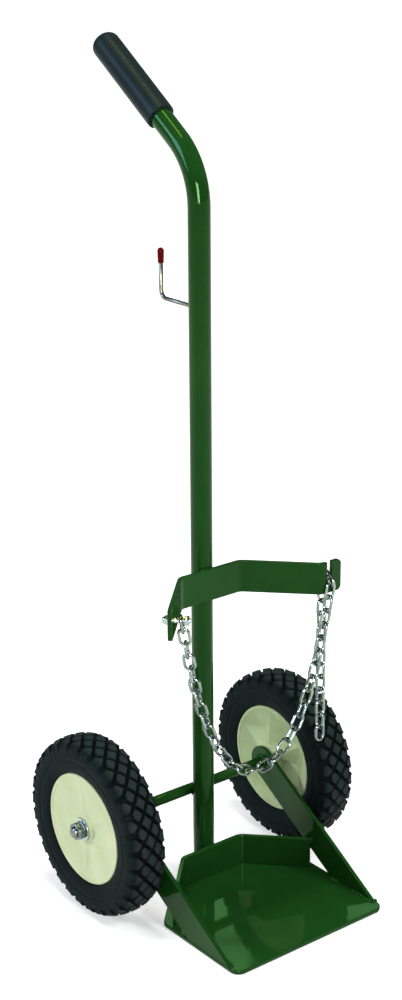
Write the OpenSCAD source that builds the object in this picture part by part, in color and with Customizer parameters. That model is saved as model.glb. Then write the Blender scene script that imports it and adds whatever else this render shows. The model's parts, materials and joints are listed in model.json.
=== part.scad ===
// Gas cylinder trolley: a bent tube post with a toe plate, a cradle bracket with
// a retaining chain, a hose hook and two solid-tyred wheels on a welded axle.
// The origin lies on the floor under the axis of the cylinder that it carries.
// X runs along the axle, -Y is the loading side and Z points up.

/* [Load] */
// Diameter of the gas cylinder that the cradle is bent for
load_d = 200; // [170:1:230]
// Turn of each cradle bend, in degrees
cradle_turn = 45.5; // [40:0.5:50]

/* [Flat bar] */
// Height of the flat bar of the cradle pieces and braces
bar_w = 38; // [32:1:50]
// Thickness of the flat bar
bar_t = 5; // [4:0.5:7]
// Inside radius of the bends in the flat bar
bar_bend_r = 9; // [5:0.5:14]
// Corner radius at the ends of the bracket arms
bar_corner_r = 6; // [2:0.5:9]

/* [Post and handle] */
// Outside diameter of the post tube
tube_d = 25; // [20:0.5:32]
// Wall of the post tube
tube_wall = 2; // [1.5:0.1:3]
// Height at which the post starts to bend back
post_straight = 804; // [700:1:900]
// Centre-line radius of the handle bend
handle_bend_r = 84.5; // [60:0.5:110]
// Angle by which the handle leans back from upright
handle_turn = 55.2; // [40:0.1:70]
// Bare straight tube between the bend and the grip
handle_neck = 35; // [15:1:60]
// Length of the grip along the tube
grip_len = 128; // [100:1:160]
// Wall of the grip
grip_wall = 3.5; // [2.5:0.1:5]
// Solid end of the grip past the tube
grip_end = 10; // [8:0.5:16]
// Rounding of the closed end of the grip
grip_round = 9.6; // [6:0.1:9.8]

/* [Toe plate] */
// Width of the toe plate
plate_w = 221; // [214:1:250]
// Thickness of the toe plate
plate_t = 5; // [4:0.5:8]
// Reach of the toe plate in front of the load axis
plate_front = 80; // [70:1:110]
// Distance of the rear side corners behind the load axis
plate_shoulder = 53; // [48:1:60]
// Corner radius of the toe plate
plate_corner_r = 12; // [6:0.5:20]
// Distance of the foot of each brace behind the front edge
brace_inset = 15; // [8:1:30]

/* [Backstop and bracket] */
// Length of each backstop wing, from the bend corner
backstop_wing = 84.5; // [78:0.5:86]
// Height of the underside of the bracket above the floor
bracket_z = 359; // [320:1:450]
// Length of each bracket arm, from the bend corner
bracket_arm = 94; // [80:0.5:100]
// Length of the ear that holds the chain
ear_len = 29; // [26:0.5:45]
// Distance of the chain slot from the bend of the ear
slot_offset = 11.5; // [11.5:0.5:18]
// Width of the chain slot
slot_w = 6.8; // [4.5:0.1:7]

/* [Chain] */
// Wire diameter of the chain
wire_d = 3.4; // [2.8:0.1:3.8]
// Distance from link to link
link_pitch = 16; // [15:0.1:18]
// Inside width of a link
link_gap = 8; // [7.6:0.1:9]
// Number of links in the loop across the front
loop_links = 31; // [27:1:36]
// Clearance of the loose end of the chain above the shoulder of the tyre
tail_clear = 0.5; // [0.3:0.1:60]
// Slope of the link that lies in the slot, in degrees
slot_link_slope = 40; // [30:1:43]
// Distance of the chain bolt from the end of the left arm
bolt_offset = 18; // [10:0.5:22]
// Diameter of the chain bolt
bolt_d = 6; // [5:0.1:6.4]
// Width across the flats of the bolt head and nut
bolt_flats = 10; // [9:0.1:13]
// Height of the bolt head and of the nut
bolt_head_h = 5; // [4:0.1:7]
// Rise of the domed top of the bolt head above its hexagon
bolt_dome = 3.8; // [2:0.1:5]
// Room beside the first link on the bolt, in which it can swing
link_room = 2.6; // [2.5:0.1:6]
// Length of the bolt past its nut
bolt_tip = 1.5; // [0.5:0.5:6]

/* [Hook] */
// Wire diameter of the hose hook
hook_d = 4.8; // [4:0.1:8]
// Height of the run of the hook
hook_z = 695; // [600:1:760]
// Reach of the hook behind the post axis
hook_reach = 69; // [50:1:100]
// Height of the upright of the hook above its run
hook_rise = 56; // [40:1:80]
// Bend radius of the hook
hook_bend_r = 9; // [7:0.5:14]
// Length of the cap on the hook
cap_len = 17; // [10:0.5:25]
// Wall of the cap on the hook
cap_wall = 1.2; // [0.8:0.1:2]
// Rounding of the closed end of the cap
cap_round = 2.4; // [1:0.1:3]

/* [Axle and wheels] */
// Diameter of the axle
axle_d = 12.7; // [11:0.1:16]
// Outside diameter of the tyres
wheel_d = 214; // [195:1:225]
// Width of the tyres
tyre_w = 46; // [40:1:50]
// Diameter of the hub rim at its lips
rim_d = 132; // [124:1:140]
// Height of the lips above the tyre seat
rim_lip = 5; // [3:0.5:7]
// Inset of each hub face from the side of the tyre
hub_inset = 3; // [2:0.5:5]
// Gap between each brace and the side of its tyre
wheel_gap = 7.6; // [5:0.1:15]
// Diameter of the hub boss
boss_d = 36; // [32:0.5:44]
// Outside diameter of the axle bush
bush_d = 19; // [17.5:0.1:24]
// Height of the lip of each hub half along the axle
lip_t = 4; // [3:0.5:6]
// Wall of the moulded hub halves
hub_wall = 3.5; // [2.5:0.1:5]
// Depth of the dished outer face at the boss
hub_dish = 4; // [2:0.5:7]
// Width of the flat floor of the dish round the boss
dish_floor = 2; // [1:0.5:6]
// Depth of the bowl between the star ridges on the inner face
hub_bowl = 10; // [6:0.5:12]
// Width of the flat floor of the bowl round the boss
bowl_floor = 18; // [10:0.5:24]
// Number of star ridges on each hub face
hub_ridges = 6; // [5:1:8]
// Height of the star ridges above the dish, at the boss
ridge_outer = 2.5; // [1:0.5:4]
// Height of the star ridges above the bowl, at the boss
ridge_inner = 13.5; // [6:0.5:15]
// Slope of the flanks of the ridges on the outer face, degrees
flank_outer = 18; // [10:1:30]
// Slope of the flanks of the ridges on the inner face, degrees
flank_inner = 32; // [20:1:45]
// Turn of the star ridges from straight up, degrees
ridge_turn = 4; // [0:1:60]
// Width across the flats of the axle nuts
nut_flats = 19; // [17:0.5:24]
// Height of the axle nuts
nut_h = 9; // [7:0.5:12]
// Height of the round collar on the axle nuts
nut_collar = 2.2; // [1:0.1:3]
// Inset of the collar from the flats of the axle nuts
nut_chamfer = 0.8; // [0.5:0.1:1.5]
// Length of the axle past its nuts
axle_tip = 3; // [1:0.5:8]
// Outside diameter of the washers
washer_d = 28; // [26:0.5:36]
// Thickness of the washers
washer_t = 2; // [1.5:0.1:3]

/* [Tyre form] */
// Number of tread blocks round a tyre
tread_count = 30; // [24:1:36]
// Width of a tread diamond across the tyre
tread_diamond = 18; // [15:0.5:19]
// Depth of the tread grooves
tread_depth = 3.4; // [2:0.1:5]
// Share of a tread diamond that its flat top takes
tread_top = 0.8; // [0.7:0.01:0.9]
// Margin between the tread and the side of the tyre
tread_margin = 2.3; // [1.5:0.1:4]
// Drop of the tread from its middle to the side of the tyre
tread_drop = 6.2; // [3:0.1:9]
// Drop from the tread to the top of the sidewall
shoulder_drop = 10.2; // [9.5:0.1:14]
// Drop from the tread to the widest place of the sidewall
bulge_drop = 17; // [15:0.5:21]
// Drop from the tread to the foot of the sidewall
flank_drop = 26; // [23:0.5:32]
// Inset of the top of the sidewall from its widest place
shoulder_in = 0.5; // [0.2:0.1:1.5]
// Inset of the foot of the sidewall from its widest place
flank_in = 0.4; // [0.2:0.1:1.5]
// Inset of the bead from the widest place of the sidewall
bead_in = 2; // [1.5:0.1:3]
// Rise of the bead round the lip of the hub
bead_rise = 4; // [2:0.5:6]

/* [Clearances] */
// Radial running clearance between axle and bush
run_fit = 0.06; // [0.02:0.01:0.1]
// Gap between pieces that are welded, pressed or bolted together
seat_gap = 0.1; // [0.05:0.01:0.2]
// Play between pieces that move against each other
play = 0.3; // [0.2:0.05:0.5]

/* [Hidden] */
$fn = 64;

// Overlap that lets a cut pass through a face
cut = 1;
paint_green = "#2f6b35";
zinc = "#c9ccc8";
rubber_black = "#26292a";
hub_cream = "#e9e8cf";
cap_red = "#c8352b";

// Cradle: the bar touches the load in the middle and on both arms
cradle_y = load_d / 2;
cradle_mid = load_d * tan(cradle_turn / 2);
bend_in = bar_bend_r * tan(cradle_turn / 2);
bend_out = (bar_bend_r + bar_t) * tan(cradle_turn / 2);
arm_end = [cradle_mid / 2 + bracket_arm * cos(cradle_turn), cradle_y - bracket_arm * sin(cradle_turn)];
ear_y = arm_end.y;
bracket_top = bracket_z + bar_w;

// Post and handle, whose bend is a hair fuller than the straight runs
bend_swell = 0.1;
post_y = cradle_y + bar_t + seat_gap + tube_d / 2;
grip_d = tube_d + 2 * (grip_wall + seat_gap);
handle_tube = handle_neck + grip_len - grip_end;

// Axle behind the post, at the height at which the tyres reach the floor
axle_y = post_y + tube_d / 2 + axle_d / 2 + seat_gap;
axle_z = wheel_d / 2;
brace_x = plate_w / 2 - bar_t - seat_gap;
brace_out = brace_x + bar_t;
wheel_x = brace_out + wheel_gap + tyre_w / 2;
hub_w = tyre_w - 2 * hub_inset;
hub_face_x = wheel_x + hub_w / 2;
inner_washer_x = brace_out + seat_gap;
boss_in_x = inner_washer_x + washer_t + play;
outer_washer_x = hub_face_x + play;
nut_x = outer_washer_x + washer_t + seat_gap;
axle_end_x = nut_x + nut_h + axle_tip;

// Braces run from the axle to the front of the toe plate
brace_foot = brace_inset - plate_front;
brace_rise = axle_z - plate_t;
brace_span = axle_y - brace_foot;
// Slope at which the upper edge of a brace meets the plate at its foot
brace_slope = atan2(brace_rise, brace_span) + asin(bar_w / 2 / norm([brace_rise, brace_span]));
brace_len = brace_span / cos(brace_slope) + bar_w;

// Chain
link_r = (link_gap + wire_d) / 2;
link_in = link_pitch + play;
link_straight = link_in - link_gap;
// Reach of a link past the points that it hangs between
link_over = (link_in - link_pitch) / 2 + wire_d;
slot_link_along = [0, cos(slot_link_slope), sin(slot_link_slope)];
slot_link_across = [0, sin(slot_link_slope), -cos(slot_link_slope)];
// Room of a wire inside the bow of the next link
bow_room = (link_gap - wire_d) / 2 - play / 2;
// The lower leg of the slot link rests on the front edge of the slot
slot_link_rise = play + (link_gap / 2 + wire_d) / cos(slot_link_slope)
    + bar_t / 2 * tan(slot_link_slope);
loop_end_drop = (link_straight / 2 + bow_room) * sin(slot_link_slope) + wire_d / 2;
// The slot is deep enough for the second link of the loop to hang clear below the bracket
hang_steepness = 0.96;
slot_x = arm_end.x + slot_offset;
slot_z = bracket_z - play + hang_steepness * link_pitch - link_over + loop_end_drop - slot_link_rise;
slot_link_at = [slot_x, ear_y + bar_t / 2, slot_z + slot_link_rise];
// The loop hangs in the front bow of the slot link and the tail on its lower leg, behind the ear
loop_end = slot_link_at - (link_straight / 2 + bow_room) * slot_link_along - [0, 0, wire_d / 2];
tail_start = slot_link_at + (link_straight / 2 + 2 * play) * slot_link_along + bow_room * slot_link_across
    - [0, 0, wire_d / 2];
tail_y = ear_y + bar_t + link_gap / 2 + wire_d + 3 * play;
// The loose end has as many links as hang clear of the shoulder of the tyre
tail_ahead = axle_y - tail_y - wire_d;
tail_low = axle_z + sqrt(max(0, pow(wheel_d / 2 - tread_drop, 2) - pow(tail_ahead, 2))) + tail_clear;
tail_links = floor((tail_start.z - link_over - tail_low) / link_pitch);
// The bolt stands square to the left arm, and the first link hangs on its shank
bolt_z = bracket_z + bar_w / 2;
bolt_at = [-arm_end.x + bolt_offset * cos(cradle_turn), arm_end.y + bolt_offset * sin(cradle_turn)];
bolt_axis = [sin(cradle_turn), -cos(cradle_turn)];
dome_r = 0.44 * bolt_flats;
hang = link_gap / 2 + wire_d + play;
nut_seat = hang + wire_d / 2 + link_room;
loop_start = [bolt_at.x + hang * bolt_axis.x, bolt_at.y + hang * bolt_axis.y,
    bolt_z + bolt_d / 2 + play / 2];
shank_len = bar_t + nut_seat + bolt_head_h + bolt_tip;
loop_span = norm([loop_end.x - loop_start.x, loop_end.y - loop_start.y]);
loop_drop = loop_end.z - loop_start.z;
loop_heading = atan2(loop_end.y - loop_start.y, loop_end.x - loop_start.x);
loop_len = loop_links * link_pitch;

function sinh(v) = (exp(v) - exp(-v)) / 2;
function tanh(v) = (exp(v) - exp(-v)) / (exp(v) + exp(-v));
function asinh(v) = ln(v + sqrt(v * v + 1));
// Catenary parameter of a chain of the loop's length between its two ends, by bisection
function sag_scale(low, high, steps) =
    let (mid = (low + high) / 2)
    let (reach = 2 * mid * sinh(loop_span / 2 / mid))
    steps == 0 ? mid
    : reach > sqrt(pow(loop_len, 2) - pow(loop_drop, 2)) ? sag_scale(mid, high, steps - 1)
    : sag_scale(low, mid, steps - 1);
loop_sag = sag_scale(loop_span / 12, loop_span * 4, 40);
// Arc length from the start of the loop to its lowest point
loop_low = loop_len / 2 - loop_drop / 2 / tanh(loop_span / 2 / loop_sag);
// Point of the loop at an arc length from its start, as distance along the span and height
function loop_point(s) =
    let (from = -loop_low, here = s - loop_low)
    [loop_sag * (asinh(here / loop_sag) - asinh(from / loop_sag)),
        sqrt(pow(loop_sag, 2) + pow(here, 2)) - sqrt(pow(loop_sag, 2) + pow(from, 2))];

// Direction in plan of a heading in degrees
function along(heading) = [cos(heading), sin(heading)];
function leftward(heading) = [-sin(heading), cos(heading)];
// Stations along the front face of a bent bar: straight runs, each followed by a bend to the left
function bar_stations(runs, start, heading, i = 0, steps = 10) =
    let (turn = runs[i][1], end = start + runs[i][0] * along(heading))
    let (radius = turn > 0 ? -(bar_bend_r + bar_t) : bar_bend_r)
    let (centre = end - radius * leftward(heading))
    let (bend = [for (k = [1 : turn == 0 ? 0 : steps])
        let (here = heading + turn * k / steps)
        [centre + radius * leftward(here), here]])
    concat([[start, heading], [end, heading]], bend,
        i == len(runs) - 1 ? []
        : bar_stations(runs, bend[steps - 1][0], heading + turn, i + 1));

// Cradle outline in plan, from the end of its left arm
module cradle_outline(arm, ear) {
    start = [-cradle_mid / 2, cradle_y] - arm * along(cradle_turn);
    head = [[arm - bend_in, -cradle_turn], [cradle_mid - 2 * bend_in, -cradle_turn]];
    tail = ear > 0
        ? [[arm - bend_in - bend_out, cradle_turn], [ear - bend_out, 0]]
        : [[arm - bend_in, 0]];
    stations = bar_stations(concat(head, tail), start, cradle_turn);
    front = [for (s = stations) s[0]];
    back = [for (s = stations) s[0] + bar_t * leftward(s[1])];
    polygon(concat(front, reversed(back)));
}

// Cutter that rounds one upper corner of a bar end; the bar ends at x = 0 and its top at z = 0
module corner_cutter() {
    translate([0, -cut, 0])
        rotate([-90, 0, 0])
            linear_extrude(bar_t + 2 * cut)
                difference() {
                    translate([-bar_corner_r, -cut])
                        square(bar_corner_r + cut);
                    translate([-bar_corner_r, bar_corner_r])
                        circle(bar_corner_r);
                }
}

// Cutters for both corners of a bar end
module end_cutters() {
    translate([0, 0, bar_w])
        corner_cutter();
    mirror([0, 0, 1])
        corner_cutter();
}

// Points of an outline whose corners are rounded with arcs
function rounded(points, r, steps = 8) = [
    for (i = [0 : len(points) - 1])
        let (n = len(points), here = points[i])
        let (a = points[(i + n - 1) % n] - here, b = points[(i + 1) % n] - here)
        let (u = a / norm(a), v = b / norm(b))
        let (half = acos(u * v) / 2, inset = r / tan(half))
        let (centre = here + (u + v) / norm(u + v) * r / sin(half))
        let (p = here + u * inset - centre, q = here + v * inset - centre)
        for (k = [0 : steps])
            let (w = p * (1 - k / steps) + q * (k / steps))
            centre + w / norm(w) * r
];

// One chain link, long along Z, in the plane X = 0
module link() {
    for (side = [-1, 1]) {
        translate([0, side * link_r, -link_straight / 2])
            cylinder(d = wire_d, h = link_straight);
        translate([0, 0, side * link_straight / 2])
            rotate([0, 90, 0])
                rotate(side > 0 ? 90 : -90)
                    rotate_extrude(angle = 180)
                        translate([link_r, 0])
                            circle(d = wire_d);
    }
}

// Link between two points of a plane through Z, given as distance and height, turned about its length
module link_between(a, b, spin) {
    mid = (a + b) / 2;
    translate([mid[0], 0, mid[1]])
        rotate([0, atan2(b[0] - a[0], b[1] - a[1]), 0])
            rotate(spin)
                link();
}

// Hexagon of a nut or bolt head, along +Z
module hexagon(flats, h) {
    cylinder(d = flats / cos(30), h = h, $fn = 6);
}

// Tyre profile below the tread on one side: distance from the middle plane and radius
tyre_r = wheel_d / 2;
half_w = tyre_w / 2;
seat_r = rim_d / 2 - rim_lip;
seat_half = hub_w / 2 - lip_t - play;
// The facets of the tyre stay outside the round rim
facet_out = 1 / cos(90 / tread_count);
lip_clear_r = (rim_d / 2 + play) * facet_out;
side_rings = [
    [half_w - shoulder_in, tyre_r - shoulder_drop],
    [half_w, tyre_r - bulge_drop],
    [half_w - flank_in, tyre_r - flank_drop],
    [half_w - bead_in, lip_clear_r + bead_rise],
    [hub_w / 2 - lip_t / 2, lip_clear_r],
    [seat_half, lip_clear_r],
    [seat_half, (seat_r + play) * facet_out]
];
tread_edge = half_w - tread_margin;
// The tread is flat in the middle and falls away to its edges
crown_power = 2.6;
// Share of the groove depth that the notches between shoulder blocks have
notch_share = 0.8;
// Height of the crowned tread at a distance from the middle plane
function crown(x) = tyre_r - tread_drop * pow(abs(x) / half_w, crown_power);
// Point at a distance across the tyre, an angle in pitches and a radius
function tyre_point(x, pitches, r) =
    let (angle = pitches * 360 / tread_count)
    [x, r * cos(angle), r * sin(angle)];
function groove_point(x, pitches, share = 1) = tyre_point(x, pitches, crown(x) - share * tread_depth);
function top_point(x, pitches) = tyre_point(x, pitches, crown(x));
// Tops of a diamond: right, forward, left, back
function diamond_top(x, pitches) = [
    top_point(x + tread_top * tread_diamond / 2, pitches),
    top_point(x, pitches + tread_top / 2),
    top_point(x - tread_top * tread_diamond / 2, pitches),
    top_point(x, pitches - tread_top / 2)
];
// Top of a shoulder block on the side s, from its outer back corner round to its inner back corner
function shoulder_top(s, pitches) = [
    top_point(s * tread_edge, pitches - tread_top / 2),
    top_point(s * tread_edge, pitches + tread_top / 2),
    top_point(s * tread_diamond, pitches + tread_top / 2),
    top_point(s * (tread_diamond - tread_top * tread_diamond / 2), pitches),
    top_point(s * tread_diamond, pitches - tread_top / 2)
];
// Points of one pitch of the tyre, in the order of the indices below
function pitch_points(k) = concat(
    [
        groove_point(0, k + 0.5),
        groove_point(tread_diamond / 2, k),
        groove_point(-tread_diamond / 2, k),
        groove_point(tread_diamond, k + 0.5),
        groove_point(-tread_diamond, k + 0.5),
        groove_point(tread_edge, k + 0.5, notch_share),
        groove_point(-tread_edge, k + 0.5, notch_share)
    ],
    diamond_top(0, k),
    diamond_top(tread_diamond / 2, k + 0.5),
    diamond_top(-tread_diamond / 2, k + 0.5),
    shoulder_top(1, k),
    shoulder_top(-1, k),
    [for (ring = side_rings, s = [1, -1], half = [0, 0.5])
        tyre_point(s * ring[0], k + half, ring[1])]
);
middle = 0;
right_node = 1;
left_node = 2;
right_far = 3;
left_far = 4;
right_edge = 5;
left_edge = 6;
middle_top = 7;
right_top = 11;
left_top = 15;
right_block = 19;
left_block = 24;
rings_at = 29;
pitch_size = rings_at + 4 * len(side_rings);
function at(k, i) = (k + tread_count) % tread_count * pitch_size + i;
// Index on a side ring; half steps count round the tyre
function ring_at(half_step, j, s) =
    at(floor(half_step / 2), rings_at + 4 * j + (s > 0 ? 0 : 2) + (half_step + 2 * tread_count) % 2);
// Top and flanks of a block, from its top corners and the groove points round it
function block_faces(tops, nodes) = concat(
    [tops],
    [for (i = [0 : len(nodes) - 1])
        let (j = (i + 1) % len(nodes))
        [nodes[i], nodes[j], tops[j], tops[i]]]
);
// Shoulder block, its notch and its step down to the first side ring
function shoulder_faces(k, s) =
    let (first = s > 0 ? right_block : left_block)
    let (t = [for (i = [0 : 4]) at(k, first + i)])
    let (inner = at(k, s > 0 ? right_node : left_node))
    let (far_on = at(k, s > 0 ? right_far : left_far))
    let (far_back = at(k - 1, s > 0 ? right_far : left_far))
    let (edge_on = at(k, s > 0 ? right_edge : left_edge))
    let (edge_back = at(k - 1, s > 0 ? right_edge : left_edge))
    let (ring = [for (h = [-1 : 1]) ring_at(2 * k + h, 0, s)])
    [
        t,
        [far_on, inner, t[3], t[2]],
        [inner, far_back, t[4], t[3]],
        [edge_on, far_on, t[2], t[1]],
        [far_back, edge_back, t[0], t[4]],
        [t[0], ring[1], t[1]],
        [t[1], ring[1], ring[2]],
        [t[0], ring[0], ring[1]],
        [t[1], ring[2], edge_on],
        [t[0], edge_back, ring[0]]
    ];
function reversed(face) = [for (i = [len(face) - 1 : -1 : 0]) face[i]];
function side_faces(half_step, s) = [
    for (j = [0 : len(side_rings) - 2])
        [ring_at(half_step, j, s), ring_at(half_step, j + 1, s),
            ring_at(half_step + 1, j + 1, s), ring_at(half_step + 1, j, s)]
];
function seat_face(half_step) =
    let (j = len(side_rings) - 1)
    [ring_at(half_step, j, 1), ring_at(half_step, j, -1),
        ring_at(half_step + 1, j, -1), ring_at(half_step + 1, j, 1)];
tyre_faces = [
    for (k = [0 : tread_count - 1])
        each concat(
            block_faces([for (i = [0 : 3]) at(k, middle_top + i)],
                [at(k, right_node), at(k, middle), at(k, left_node), at(k - 1, middle)]),
            block_faces([for (i = [0 : 3]) at(k, right_top + i)],
                [at(k, right_far), at(k + 1, right_node), at(k, middle), at(k, right_node)]),
            block_faces([for (i = [0 : 3]) at(k, left_top + i)],
                [at(k, middle), at(k + 1, left_node), at(k, left_far), at(k, left_node)]),
            shoulder_faces(k, 1),
            [for (f = shoulder_faces(k, -1)) reversed(f)],
            [for (h = [0, 1]) each side_faces(2 * k + h, 1)],
            [for (h = [0, 1]) each [for (f = side_faces(2 * k + h, -1)) reversed(f)]],
            [seat_face(2 * k), seat_face(2 * k + 1)]
        )
];
tyre_points = [for (k = [0 : tread_count - 1]) each pitch_points(k)];
// Polygons split into triangles round their first corner
tyre_triangles = [
    for (f = tyre_faces)
        for (i = [1 : len(f) - 2])
            [f[0], f[i], f[i + 1]]
];

// Moulded rubber tyre about the X axis, its middle plane at x = 0
module tyre() {
    polyhedron(tyre_points, tyre_triangles);
}

// Depth by which the far ends of the star ridges sink into the dished face
tip_sink = 0.2;

// One moulded half of a hub about the X axis, from the middle plane to its face towards +X
module hub_half(boss_end, dish, floor_w, ridge_h, flank) {
    bore_r = bush_d / 2 + seat_gap;
    boss_r = boss_d / 2;
    rim_r = rim_d / 2;
    rim_in = seat_r - hub_wall;
    rim_mid = seat_r - hub_wall / 2;
    face = hub_w / 2;
    edge = 1;
    land = rim_r - lip_t;
    foot_r = boss_r + floor_w;
    foot = face - dish;
    ridge_top = foot + ridge_h;
    // Height of the dished face at a radius outside its flat floor
    function dish_z(r) = face - edge - (dish - edge) * (land - edge - r) / (land - edge - foot_r);
    rotate([0, 90, 0]) {
        rotate_extrude()
            polygon([[bore_r, seat_gap / 2], [boss_r, seat_gap / 2], [boss_r, foot - hub_wall],
                [foot_r, foot - hub_wall], [rim_in, dish_z(rim_in) - hub_wall], [rim_in, seat_gap / 2],
                [seat_r, seat_gap / 2], [seat_r, face - lip_t], [rim_r, face - lip_t], [rim_r, face - edge],
                [rim_r - edge, face], [land, face], [land - edge, face - edge], [foot_r, foot],
                [boss_r, foot], [boss_r, boss_end], [bore_r, boss_end]]);
        intersection() {
            for (i = [0 : hub_ridges - 1])
                rotate(i * 360 / hub_ridges - ridge_turn)
                    hub_ridge([boss_r, ridge_top], [rim_mid, dish_z(rim_mid) - tip_sink],
                        dish + ridge_h, flank);
            // Room from the middle of the dished wall up to the ridges
            rotate_extrude()
                polygon([[boss_r - cut, foot - hub_wall / 2], [foot_r, foot - hub_wall / 2],
                    [rim_mid, dish_z(rim_mid) - hub_wall / 2], [rim_mid, ridge_top + cut],
                    [boss_r - cut, ridge_top + cut]]);
        }
    }
}

// Roof whose top edge runs between two points, each a radius and a height, and starts inside the boss
module hub_ridge(from, to, roof_h, flank) {
    reach = to - from;
    run_in = from.x / 2;
    roof_half = roof_h / tan(flank);
    translate([from.x, 0, from.y])
        rotate([0, atan2(-reach.y, reach.x), 0])
            translate([-run_in, 0, 0])
                rotate([90, 0, 90])
                    linear_extrude(norm(reach) + run_in)
                        polygon([[-roof_half, -roof_h], [roof_half, -roof_h], [0, 0]]);
}

module at_wheel(side) {
    mirror([side < 0 ? 1 : 0, 0, 0])
        translate([wheel_x, axle_y, axle_z])
            children();
}

// Ring along +X from a place on the right side, mirrored for the left
module axle_ring(side, x, length, outer_d, inner_d) {
    mirror([side < 0 ? 1 : 0, 0, 0])
        translate([x, axle_y, axle_z])
            rotate([0, 90, 0])
                difference() {
                    cylinder(d = outer_d, h = length);
                    translate([0, 0, -cut])
                        cylinder(d = inner_d, h = length + 2 * cut);
                }
}

module axle_nut(side) {
    color(zinc)
        mirror([side < 0 ? 1 : 0, 0, 0])
            translate([nut_x, axle_y, axle_z])
                rotate([0, 90, 0])
                    difference() {
                        union() {
                            hexagon(nut_flats, nut_h - nut_collar);
                            cylinder(d = nut_flats - 2 * nut_chamfer, h = nut_h);
                        }
                        translate([0, 0, -cut])
                            cylinder(d = axle_d + 2 * seat_gap, h = nut_h + 2 * cut);
                    }
}

module brace(side) {
    color(paint_green)
        mirror([side < 0 ? 1 : 0, 0, 0])
            difference() {
                translate([brace_x, 0, 0])
                    rotate([90, 0, 90])
                        linear_extrude(bar_t)
                            intersection() {
                                translate([axle_y, axle_z]) {
                                    circle(d = bar_w);
                                    rotate(180 + brace_slope)
                                        translate([0, -bar_w / 2])
                                            square([brace_len, bar_w]);
                                }
                                translate([-plate_front, plate_t + seat_gap])
                                    square([2 * plate_front + wheel_d + load_d, wheel_d]);
                            }
                translate([brace_x - cut, axle_y, axle_z])
                    rotate([0, 90, 0])
                        cylinder(d = axle_d + 2 * seat_gap, h = bar_t + 2 * cut);
            }
}

module post_tube() {
    bore_d = tube_d - 2 * tube_wall;
    color(paint_green)
        difference() {
            union() {
                post_runs(tube_d, 0);
                post_bend(tube_d + bend_swell);
            }
            post_runs(bore_d, cut);
            post_bend(bore_d - bend_swell);
        }
}

// The two straight runs of the post, which end a little way inside its bend
module post_runs(d, reach) {
    translate([0, post_y, -reach])
        cylinder(d = d, h = post_straight + reach + cut);
    along_handle()
        translate([0, 0, -cut])
            cylinder(d = d, h = handle_tube + reach + cut);
}

module post_bend(d) {
    at_handle_bend()
        rotate([90, 0, 90])
            rotate(180 - handle_turn)
                rotate_extrude(angle = handle_turn)
                    translate([handle_bend_r, 0])
                        circle(d = d);
}

// Frame at the centre of the handle bend
module at_handle_bend() {
    translate([0, post_y + handle_bend_r, post_straight])
        children();
}

// Frame at the end of the handle bend, with Z along the tube
module along_handle() {
    at_handle_bend()
        rotate([-handle_turn, 0, 0])
            translate([0, -handle_bend_r, 0])
                children();
}

module handle_grip() {
    bore_r = tube_d / 2 + seat_gap;
    color(rubber_black)
        along_handle()
            translate([0, 0, handle_neck])
                rotate_extrude()
                    difference() {
                        union() {
                            square([grip_d / 2, grip_len - grip_round]);
                            translate([0, grip_len - grip_round])
                                square([grip_d / 2 - grip_round, grip_round]);
                            translate([grip_d / 2 - grip_round, grip_len - grip_round])
                                intersection() {
                                    circle(grip_round);
                                    square(grip_round);
                                }
                        }
                        translate([0, -cut])
                            square([bore_r, grip_len - grip_end + seat_gap + cut]);
                    }
}

module hook_rod() {
    root_y = post_y + tube_d / 2 + seat_gap;
    corner_y = post_y + hook_reach - hook_bend_r;
    color(zinc) {
        translate([0, root_y, hook_z])
            rotate([-90, 0, 0])
                cylinder(d = hook_d, h = corner_y - root_y);
        translate([0, corner_y, hook_z + hook_bend_r])
            rotate([90, 0, 90])
                rotate(-90)
                    rotate_extrude(angle = 90)
                        translate([hook_bend_r, 0])
                            circle(d = hook_d);
        translate([0, post_y + hook_reach, hook_z + hook_bend_r])
            cylinder(d = hook_d, h = hook_rise - hook_bend_r - cap_wall - seat_gap);
    }
}

module hook_cap() {
    bore = hook_d + 2 * seat_gap;
    cap_d = bore + 2 * cap_wall;
    color(cap_red)
        translate([0, post_y + hook_reach, hook_z + hook_rise - cap_len])
            rotate_extrude()
                difference() {
                    union() {
                        square([cap_d / 2, cap_len - cap_round]);
                        translate([0, cap_len - cap_round])
                            square([cap_d / 2 - cap_round, cap_round]);
                        translate([cap_d / 2 - cap_round, cap_len - cap_round])
                            intersection() {
                                circle(cap_round);
                                square(cap_round);
                            }
                    }
                    translate([0, -cut])
                        square([bore / 2, cap_len - cap_wall + cut]);
                }
}

module cylinder_bracket() {
    color(paint_green)
        difference() {
            translate([0, 0, bracket_z])
                linear_extrude(bar_w)
                    cradle_outline(bracket_arm, ear_len);
            // Rounded corners of the left arm and of the ear
            translate([-arm_end.x, arm_end.y, bracket_z])
                rotate(cradle_turn)
                    mirror([1, 0, 0])
                        end_cutters();
            translate([arm_end.x + ear_len, ear_y, bracket_z])
                end_cutters();
            // Chain slot with a round foot
            translate([slot_x, ear_y - cut, slot_z + slot_w / 2])
                rotate([-90, 0, 0])
                    cylinder(d = slot_w, h = bar_t + 2 * cut);
            translate([slot_x - slot_w / 2, ear_y - cut, slot_z + slot_w / 2])
                cube([slot_w, bar_t + 2 * cut, bracket_top - slot_z]);
            at_bolt()
                translate([0, 0, -bar_t - cut])
                    cylinder(d = bolt_d + 2 * seat_gap, h = bar_t + 2 * cut);
        }
}

// Frame on the inner face of the left arm, with Z along the bolt towards its nut
module at_bolt() {
    translate([bolt_at.x, bolt_at.y, bolt_z])
        rotate(-90 + cradle_turn)
            rotate([0, 90, 0])
                children();
}

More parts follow.
